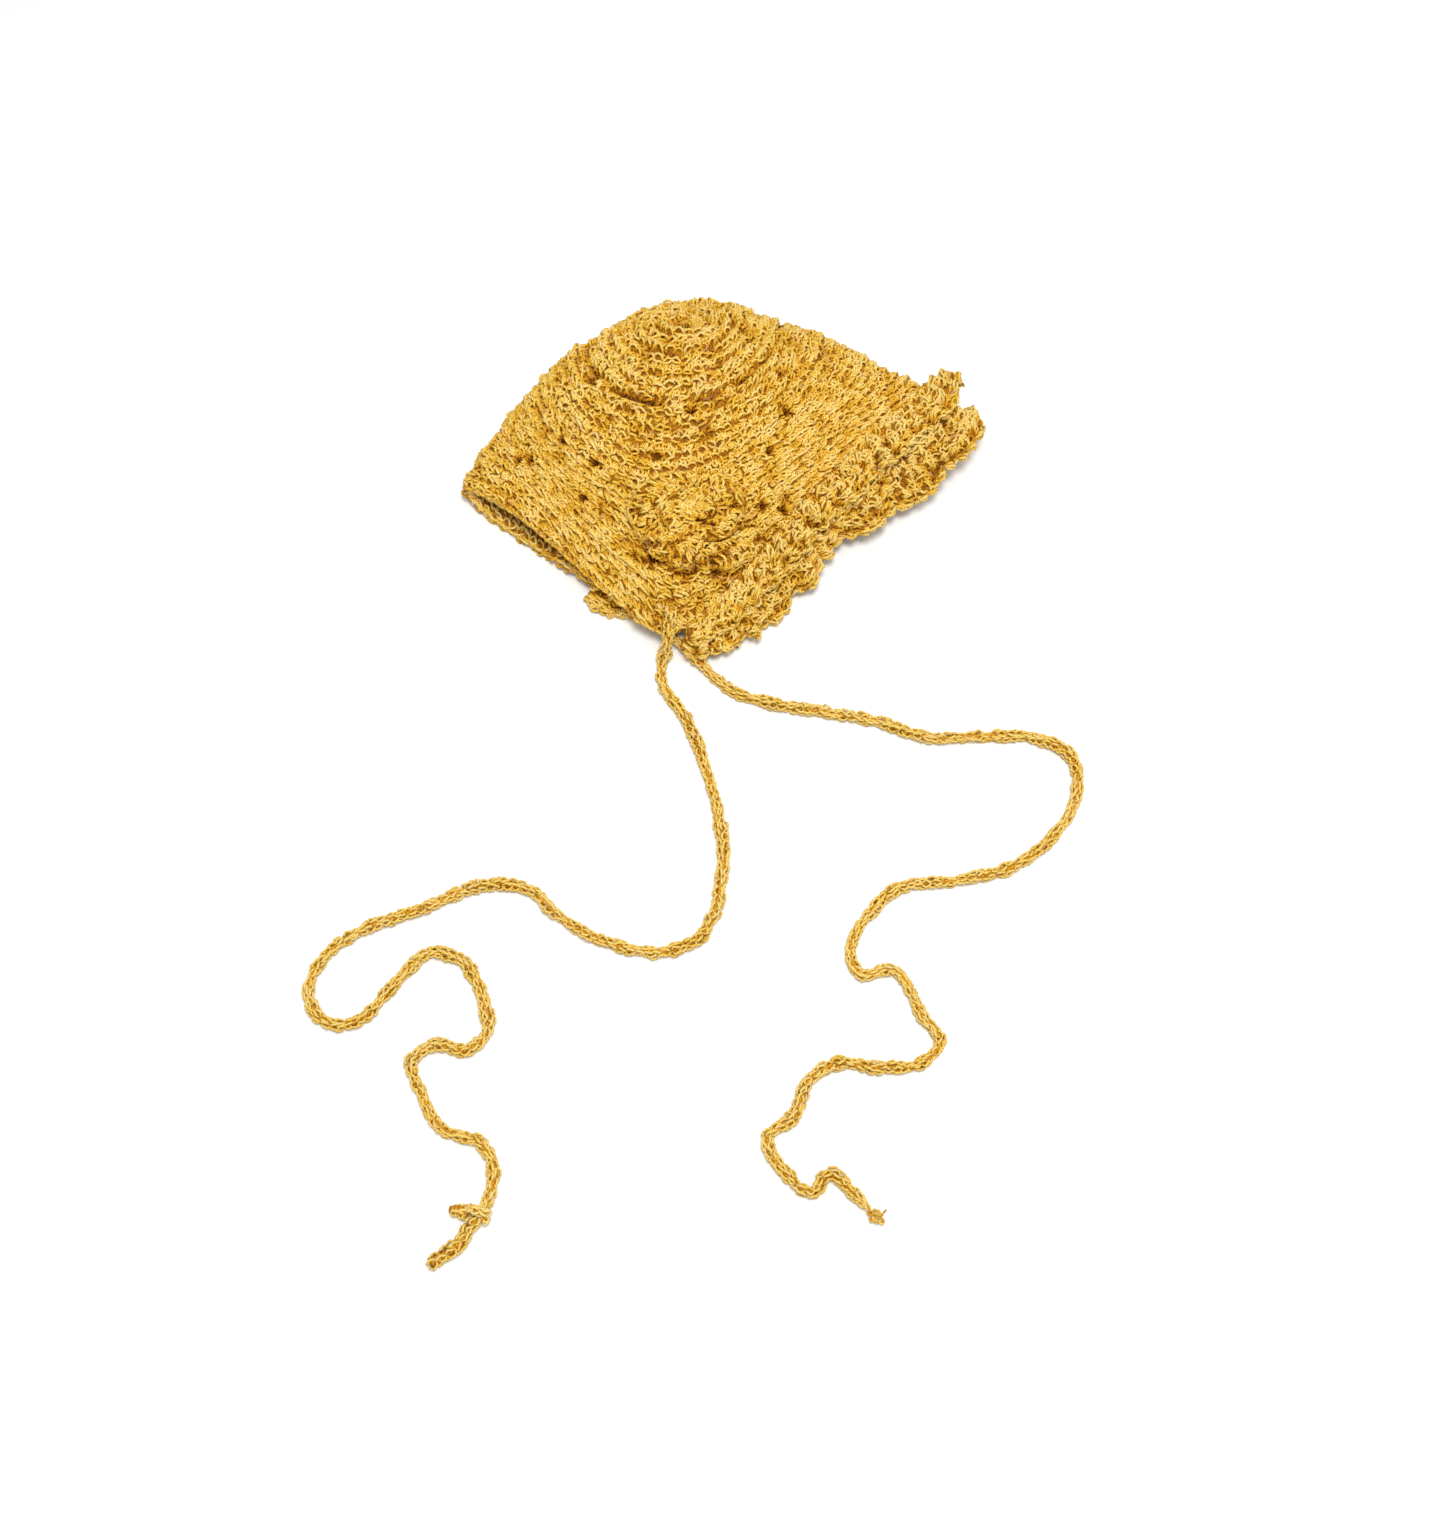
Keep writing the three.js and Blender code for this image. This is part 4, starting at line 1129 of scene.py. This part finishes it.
def crochet_ground(colours):
    """The deep side of the crochet between the stitches: matt cotton loops, brown with painted shade, and
    painted darker still round the holes.
    """
    loop_size = 1.3
    material, tree = new_material("crochet ground")
    place = add_node(tree, "ShaderNodeTexCoord")
    loops = add_node(tree, "ShaderNodeTexVoronoi", {"feature": "SMOOTH_F1"}, {
        "Vector": place.outputs["Object"], "Scale": 1 / (loop_size * MM), "Smoothness": 0.4,
    })
    # Painted shade: deep at the loops' middles, hollow brown between them
    ramp = add_node(tree, "ShaderNodeValToRGB", links={"Fac": loops.outputs["Distance"]})
    stops = ramp.color_ramp.elements
    stops[0].position, stops[0].color = 0.15, (*colours.deep, 1)
    stops[1].position, stops[1].color = 0.85, (*colours.hollow, 1)
    # Painted shade round the holes and the crown's centre, from the cloth's shade attribute
    shade = add_node(tree, "ShaderNodeAttribute", {"attribute_name": "shade"})
    colour = add_node(tree, "ShaderNodeMix", {"data_type": "RGBA"}, {
        "Factor": shade.outputs["Fac"], 6: ramp.outputs["Color"], 7: (*linear(HOLE_SHADE_COLOUR), 1),
    })
    bump = add_node(tree, "ShaderNodeBump", {"invert": True}, {
        "Strength": 1.0, "Distance": 0.5 * MM, "Height": loops.outputs["Distance"],
    })
    shader = add_node(tree, "ShaderNodeBsdfPrincipled", links={
        "Base Color": colour.outputs[2], "Roughness": 0.7, "IOR": 1.53, "Specular IOR Level": 0.1,
        "Normal": bump.outputs["Normal"],
    })
    add_node(tree, "ShaderNodeOutputMaterial", links={"Surface": shader.outputs[0]})
    return material


def plain_floor():
    """Smooth white card, matt, which takes soft shadows."""
    material, tree = new_material("white card")
    place = add_node(tree, "ShaderNodeTexCoord")
    grain = add_node(tree, "ShaderNodeTexNoise", links={"Vector": place.outputs["Object"], "Scale": 900.0})
    bump = add_node(tree, "ShaderNodeBump", links={
        "Strength": 0.05, "Distance": 0.1 * MM, "Height": grain.outputs["Fac"],
    })
    shader = add_node(tree, "ShaderNodeBsdfPrincipled", links={
        "Base Color": (*linear("FBFBFB"), 1), "Roughness": 0.8, "Normal": bump.outputs["Normal"],
    })
    add_node(tree, "ShaderNodeOutputMaterial", links={"Surface": shader.outputs[0]})
    return material




def dress(obj, maker):
    """Gives a piece the material of that maker, made at its first use."""
    made = {material.get("maker"): material for material in bpy.data.materials}
    material = made.get(maker.__name__) or maker(bpy.context.scene.bonnet_colours)
    material["maker"] = maker.__name__
    obj.data.materials.append(material)
    return obj


class BonnetPiece:
    """What the piece operators share."""

    bl_options = {"REGISTER", "UNDO"}

    @staticmethod
    def settings(wobble=0.1, turn=0.32):
        """The sizes, and how a row of stitches is laid."""
        sizes = bpy.context.scene.bonnet_sizes
        return sizes, {"yarn": sizes.yarn / MM, "wobble": wobble, "turn": turn}


class BONNET_OT_ties(BonnetPiece, bpy.types.Operator):
    """Makes the two crocheted ties, the knot and stub of the near one and the tuft of the far one"""

    bl_idname = "bonnet.ties"
    bl_label = "Ties"

    def execute(self, context):
        sizes, _ = self.settings()
        for name, route, seed, tail, far_end, ends in (
            ("tie_near", NEAR_TIE, SEED + 1, NEAR_TAIL, "knot", (self.knot, self.stub)),
            ("tie_far", FAR_TIE, SEED + 2, FAR_TAIL, "bare", (self.tuft,)),
        ):
            pieces = [make(sizes) for make in ends]
            tie, path, length = crocheted_tie(name + "_cord", route, sizes, seed, tail)
            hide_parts(name)
            tuple(path[0])
            for piece in (tie, *pieces):
                dress(piece, crocheted_yarn)
        return {"FINISHED"}

    @staticmethod
    def knot(sizes):
        """A turn and a bit of the cord round itself, drawn tight."""
        strands = Strands(6)
        turn = np.linspace(-0.62, 0.62, 26)[:, None]
        lean, side, rise = np.array(((0.84, 2.256, 0), (-2.82, 1.05, 0), (0, 0, 2.6)))
        angle = 2 * math.pi * turn
        path = np.array(KNOT_AT) + np.cos(angle) * side + np.sin(angle) * rise + turn * lean
        path[:, 2] = np.maximum(path[:, 2], KNOT_LOWEST)
        radii = np.full(len(path), KNOT_CORD_RADIUS)
        lay_cord(strands, path, float(run_along(path)[-1]), radii, sizes, np.random.default_rng(SEED + 5))
        return strands.make("tie_near_knot_turns", TIE_END_SOFT)

    @staticmethod
    def stub(sizes):
        """The short end that sticks out of the knot, crocheted as the tie is, with a rounded tip."""
        strands = Strands(6)
        path, length = smooth_route(STUB, 0.5)
        share = np.linspace(0, 1, len(path))
        radii = sizes.tie / MM / 2 * (1.2 - 0.35 * share**6)
        lay_cord(strands, path, length, radii, sizes, np.random.default_rng(SEED + 3))
        stub = strands.make("tie_near_stub_yarns", TIE_END_SOFT)
        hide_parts("tie_near_stub")
        return stub

    @staticmethod
    def tuft(sizes):
        """Loose yarn ends that spread out of the far tie's last stitch."""
        rng = np.random.default_rng(SEED + 4)
        strands = Strands(6)
        start, end = np.array(TUFT)
        curls, curl_angle = 14, 4.6
        turn = np.linspace(0, curl_angle, 9)[:, None]
        for _ in range(curls):
            centre = start + (end - start) * rng.uniform(0.1, 0.75) + rng.normal(0, 0.9, 3) * (1, 1, 0.5)
            across = unit(rng.normal(0, 1, 3) * (1, 1, 0.4))
            rise = unit(np.cross(across, rng.normal(0, 1, 3)))
            path = centre + rng.uniform(0.7, 1.3) * (np.cos(turn) * across + np.sin(turn) * rise)
            up = np.broadcast_to((0.0, 0.0, 1.0), path[None].shape)
            strands.add(path[None], up, sizes.yarn / MM * 0.32, rng.uniform(0.35, 0.95))
        tuft = strands.make("tie_far_tuft_yarns", TIE_END_SOFT)
        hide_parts("tie_far_tuft")
        return tuft


class BONNET_OT_cap(BonnetPiece, bpy.types.Operator):
    """Makes the cap: its plain cloth, the stitches of its rounds, the rows inside the rim and the edging"""

    bl_idname = "bonnet.cap"
    bl_label = "Cap"

    def execute(self, context):
        sizes, options = self.settings()
        cap = cap_surfaces()[1]
        relief = cap_relief(cap, sizes.rounds)
        cloth = self.plain_cloth(cap, relief, sizes.wall / MM)
        pieces = self.rounds(cap, relief, sizes, options)
        pieces += [self.inside_rows(cap, sizes, options), self.edging(cap, sizes, options)]
        for piece in pieces:
            dress(piece, crocheted_yarn)
        width = sum(cap.row_length(t) for t in np.linspace(0.02, 1, 50)) / 50
        return {"FINISHED"}

    @staticmethod
    def rounds(cap, relief, sizes, options):
        """The stitches of all rounds, in three pieces from the crown to the rim."""
        rounds = sizes.rounds
        holes = np.concatenate((cap.at(*small_holes()), cap.points[:1].mean(axis=1)))

        # Painted shade darkens the strands round the small holes and the crown's centre
        def painted_hole_shade(s, t):
            return dips(cap.at(s, t), holes, HOLE_SHADE, HOLE_RADIUS)

        pieces = []
        for name, first, last in (
            ("cap_rounds_crown", 1, 12), ("cap_rounds_sides", 13, 18), ("cap_rounds_rim", 19, rounds),
        ):
            strands = Strands()
            rng = np.random.default_rng(SEED + first)
            for k in range(first, last + 1):
                row = (max((k - 1) / rounds, CROWN_HOLE_AT), k / rounds)
                count = max(6, round(cap.row_length(sum(row) / 2) / (sizes.stitch / MM)))
                made = dict(options, lift=relief, shade=painted_hole_shade, shift=0.5 * (k % 2))
                made["wobble"] *= CROWN_TIDINESS if k <= TIDY_ROUNDS else 1
                if k > ROUNDS_SEEN_ALL_ROUND:
                    made["seen"] = on_near_half
                lay_stitches(strands, cap, row, count, STITCH, rng, made)
            pieces.append(strands.make(name, CLOTH_SOFT))
        return pieces

    @staticmethod
    def plain_cloth(cap, relief, wall):
        """The cloth under the stitches, drawn from the crown over the rim and back inside."""
        rings, columns, skin, lowest = 76, 168, 0.5, 0.6
        t = np.linspace(0.012, 1.0, rings)[:, None]
        s = np.arange(columns)[None] / columns
        height = relief(*np.broadcast_arrays(s, t))
        outer = cap.at(s, t, height - skin)
        outer[..., 2] = np.maximum(outer[..., 2], lowest)
        inner = cap.at(s, t, height * 0.5 - wall + skin)
        inner[..., 2] = np.maximum(inner[..., 2], wall - lowest)
        cloth = swept("cap_cloth", np.concatenate((outer, inner[::-1])))
        # Painted shade on the cloth at the bottom of the small holes and at the crown's centre
        places = np.concatenate((cap.at(*small_holes(), -HOLE_DEPTH), outer[:1].mean(axis=1)))
        shaded(cloth, places, SHADE_REACH)
        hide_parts("cap_body")
        return dress(cloth, crochet_ground)

    @staticmethod
    def inside_rows(cap, sizes, options):
        """The last rounds as they show inside the neck and the face opening, with painted shade that darkens
        them the deeper they lie and painted light near the very edge.
        """
        rows_seen, palest, shade_range, lit_from_to = 4, -0.3, 1.1, (0.90, 0.95)
        inside = inner_side(cap, sizes.wall / MM)
        strands = Strands()
        rng = np.random.default_rng(SEED + 30)

        # Painted shade deep inside, turning to painted light near the edge
        def shade(s, t):
            return shade_range * (1 - fade(*lit_from_to, t)) + palest

        made = dict(options, lift=level(-0.2), shade=shade)
        for k in range(sizes.rounds - rows_seen, sizes.rounds):
            row = (k / sizes.rounds, (k + 1) / sizes.rounds)
            count = round(inside.row_length(sum(row) / 2) / (sizes.stitch / MM))
            lay_stitches(strands, inside, row, count, (LEG, FRONT_LOOP, BACK_LOOP), rng, made)
        return strands.make("cap_rounds_inside", CLOTH_SOFT)

    @staticmethod
    def edging(cap, sizes, options):
        """The chain of loops along the very edge, from the outside to the inside of the wall."""
        columns, inset, lowest = 720, 0.3, 0.8
        s = np.linspace(0, 1, columns)
        one = np.ones_like(s)
        first, last = cap.at(s, one, -inset), cap.at(s, one, inset - sizes.wall / MM)
        last[:, 2] = np.maximum(last[:, 2], lowest)
        growth = unit(cap.read(cap.points, s, one) - cap.read(cap.points, s, 0.97 * one))
        edge = facing(rows_between(first, last, 3), growth)
        count = round(edge.row_length(0.5) / (sizes.stitch / MM))
        strands = Strands()
        made = dict(options, lift=level(0.2), wobble=0.05, turn=0.08)
        rng = np.random.default_rng(SEED)
        for row in ((-0.3, 0.5), (0.2, 1.0)):
            lay_stitches(strands, edge, row, count, (FRONT_LOOP, BACK_LOOP, LEG), rng, made)
        return strands.make("cap_edging", CLOTH_SOFT)


class BONNET_OT_frill(BonnetPiece, bpy.types.Operator):
    """Makes the two tiers of the frill along the front edge, with their scalloped picot edges"""

    bl_idname = "bonnet.frill"
    bl_label = "Frill"

    def execute(self, context):
        cap = cap_surfaces()[0]
        stations = front_stations(cap)
        lower = [lower_frill_face(stations, side) for side in (1, -1)]
        upper = [upper_frill_face(cap, stations, side) for side in (1, -1)]
        self.tier("frill_lower", lower, stations, 5, SEED + 40)
        self.tier("frill_upper", upper, stations, 3, SEED + 50)
        return {"FINISHED"}

    def tier(self, name, faces, stations, rows, seed):
        """One tier: the plain cloth in its middle and rows of stitches on both faces."""
        sizes, options = self.settings(0.14, 0.9)
        rng = np.random.default_rng(seed)
        length = float(stations["run"][-1, 0])
        upper = facing(faces[0], stations["outward"])
        turned_round = not np.allclose(upper.points[0, 0], faces[0][0, 0])
        under = Cloth(faces[1][:, ::-1] if turned_round else faces[1])
        ruffle = ruffled(upper, lambda s: length * (1 - s if turned_round else s), seed)

        def puffed(s, t):
            inside = np.clip(t, 0, 1)
            return ruffle(s, t) + FRILL_PUFF * np.sin(math.pi * inside) - FRILL_DROOP * inside**3

        def behind(s, t):
            return -ruffle(1 - s, t)

        s, t = np.meshgrid(np.linspace(0, 1, FRILL_STATIONS), np.linspace(0, 1, FRILL_SHARES))
        skin = 0.35 + 0.25 * fade(0, 0.5, t)
        top, bottom = upper.at(s, t, puffed(s, t) - skin), under.at(s, t, ruffle(s, t) + skin)
        middle = slab_sections(top, bottom)
        middle[..., 2] = squeezed_on_floor(middle[..., 2], 1.2)
        cloth = swept(name + "_cloth", middle)
        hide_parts(name)
        dress(cloth, crochet_ground)
        strands = Strands()
        count = round(length / (sizes.stitch / MM))
        back = Cloth(under.points[:, ::-1])
        for face, lift, pattern in ((upper, puffed, STITCH), (back, behind, HIDDEN_STITCH)):
            for k in range(rows):
                made = dict(options, lift=lift, shift=0.5 * (k % 2))
                lay_stitches(strands, face, (k / rows, (k + 1) / rows), count, pattern, rng, made)
        edge_chain(strands, top, bottom, round(1.25 * count), rng, options)
        stitches = dress(strands.make(name + "_stitches", CLOTH_SOFT), crocheted_yarn)


class BONNET_OT_rosette(BonnetPiece, bpy.types.Operator):
    """Makes the rosette: one scalloped strip coiled into a rose above the near ear"""

    bl_idname = "bonnet.rosette"
    bl_label = "Rosette"

    def execute(self, context):
        sizes, options = self.settings(0.14, 0.9)
        cap = cap_surfaces()[0]
        rng = np.random.default_rng(SEED + 60)
        places = np.linspace(0, len(ROSETTE_ACROSS) - 1, 13)
        across = np.interp(places, range(len(ROSETTE_ACROSS)), ROSETTE_ACROSS)
        up = np.interp(places, range(len(ROSETTE_UP)), ROSETTE_UP)
        sole = np.linspace(across[0], across[-1], len(across))
        face = facing(rosette_rows(cap, across, rosette_up(across, up)), (0, 0, 1))
        foot = facing(rosette_rows(cap, sole, 0 * up), (0, 0, 1))
        inset = face.points - face.normals * (0.8 + 2 * CREASE_DEPTH * crease_share(face.points))[..., None]
        inset[..., 2] = np.maximum(inset[..., 2], foot.points[..., 2] + 0.1)
        sections = slab_sections(inset, foot.points)
        cloth = swept("rosette_cloth", sections)
        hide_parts("rosette")
        dress(cloth, crochet_ground)
        strands = Strands()
        rows = 3
        count = round(face.row_length(0.6) / (sizes.stitch / MM))

        def lift(s, t):
            points = face.at(s, t)
            return 0.4 * unevenness(points, 5, SEED) - CREASE_DEPTH * crease_share(points)

        for k in range(rows):
            made = dict(options, lift=lift, shift=0.5 * k)
            lay_stitches(strands, face, (k / rows, (k + 1) / rows), count, STITCH, rng, made)
        bud, made = rosette_bud(cap), dict(options, lift=level(-0.2))
        for row, count in (((0.0, 0.5), 6), ((0.4, 1.0), 10)):
            lay_stitches(strands, bud, row, count, STITCH, rng, made)
        stitches = dress(strands.make("rosette_stitches"), crocheted_yarn)
        length = face.row_length(0.5)
        return {"FINISHED"}


# The photograph's camera: its place (m), how far it tilts up from straight down (degrees) and its lens (mm)
CAMERA_AT = (-0.001356, -0.31477, 0.56158)
CAMERA_TILT = 20
CAMERA_LENS = 40
# The lamps (name, place and size in m, power in W), the point they aim at and the light from all round
LAMPS = (
    ("key", (0.05, -0.2, 0.95), 0.25, 5.8),
    ("fill", (0.25, 0.1, 0.9), 1.2, 2.6),
)
LAMPS_POINT_AT = (0, 0, 0.02)
STUDIO_LIGHT = 0.5


class BONNET_OT_stage(BonnetPiece, bpy.types.Operator):
    """Makes the camera at the photograph's angle, the plain pale floor and the soft studio light"""

    bl_idname = "bonnet.stage"
    bl_label = "Stage"

    def execute(self, context):
        scene = context.scene
        self.camera(scene)
        self.floor(scene)
        for lamp in LAMPS:
            self.light(scene, *lamp)
        world = bpy.data.worlds.new("studio")
        scene.world = world
        world.use_nodes = True
        background = world.node_tree.nodes["Background"]
        background.inputs["Color"].default_value = (*linear("FFFFFF"), 1)
        background.inputs["Strength"].default_value = STUDIO_LIGHT
        scene.view_settings.view_transform = "Standard"
        return {"FINISHED"}

    @staticmethod
    def camera(scene):
        data = bpy.data.cameras.new("camera")
        data.lens = CAMERA_LENS
        data.sensor_width = 36
        data.clip_start = 0.01
        camera = bpy.data.objects.new("camera", data)
        camera.location = CAMERA_AT
        camera.rotation_euler = (math.radians(CAMERA_TILT), 0, 0)
        scene.collection.objects.link(camera)
        scene.camera = camera

    @staticmethod
    def floor(scene):
        bm = bmesh.new()
        bmesh.ops.create_grid(bm, x_segments=1, y_segments=1, size=4)
        mesh = bpy.data.meshes.new("floor")
        bm.to_mesh(mesh)
        bm.free()
        floor = bpy.data.objects.new("floor", mesh)
        scene.collection.objects.link(floor)
        floor.data.materials.append(plain_floor())

    @staticmethod
    def light(scene, name, place, size, power):
        """A soft square lamp that points at the bonnet."""
        data = bpy.data.lights.new(name, "AREA")
        data.size = size
        data.energy = power
        lamp = bpy.data.objects.new(name, data)
        lamp.location = place
        lamp.rotation_euler = (Vector(LAMPS_POINT_AT) - Vector(place)).to_track_quat("-Z", "Y").to_euler()
        scene.collection.objects.link(lamp)


class BONNET_PT_sidebar(bpy.types.Panel):
    """The bonnet's sizes, colours and pieces"""

    bl_idname = "BONNET_PT_sidebar"
    bl_label = "Crocheted Bonnet"
    bl_space_type = "VIEW_3D"
    bl_region_type = "UI"
    bl_category = "Bonnet"

    def draw(self, context):
        layout = self.layout
        for group in (context.scene.bonnet_sizes, context.scene.bonnet_colours):
            for name in group.__annotations__:
                layout.prop(group, name)
        for operator in OPERATORS:
            layout.operator(operator.bl_idname)


OPERATORS = (BONNET_OT_stage, BONNET_OT_ties, BONNET_OT_cap, BONNET_OT_frill, BONNET_OT_rosette)
CLASSES = (BonnetSizes, BonnetColours, *OPERATORS, BONNET_PT_sidebar)


def register():
    for cls in CLASSES:
        bpy.utils.register_class(cls)
    bpy.types.Scene.bonnet_sizes = bpy.props.PointerProperty(type=BonnetSizes)
    bpy.types.Scene.bonnet_colours = bpy.props.PointerProperty(type=BonnetColours)


def unregister():
    del bpy.types.Scene.bonnet_colours
    del bpy.types.Scene.bonnet_sizes
    for cls in reversed(CLASSES):
        bpy.utils.unregister_class(cls)


def main():
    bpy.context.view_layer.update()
    register()
    bpy.ops.bonnet.stage()
    bpy.ops.bonnet.ties()
    bpy.ops.bonnet.cap()
    bpy.ops.bonnet.frill()
    bpy.ops.bonnet.rosette()


if __name__ == "__main__":
    main()
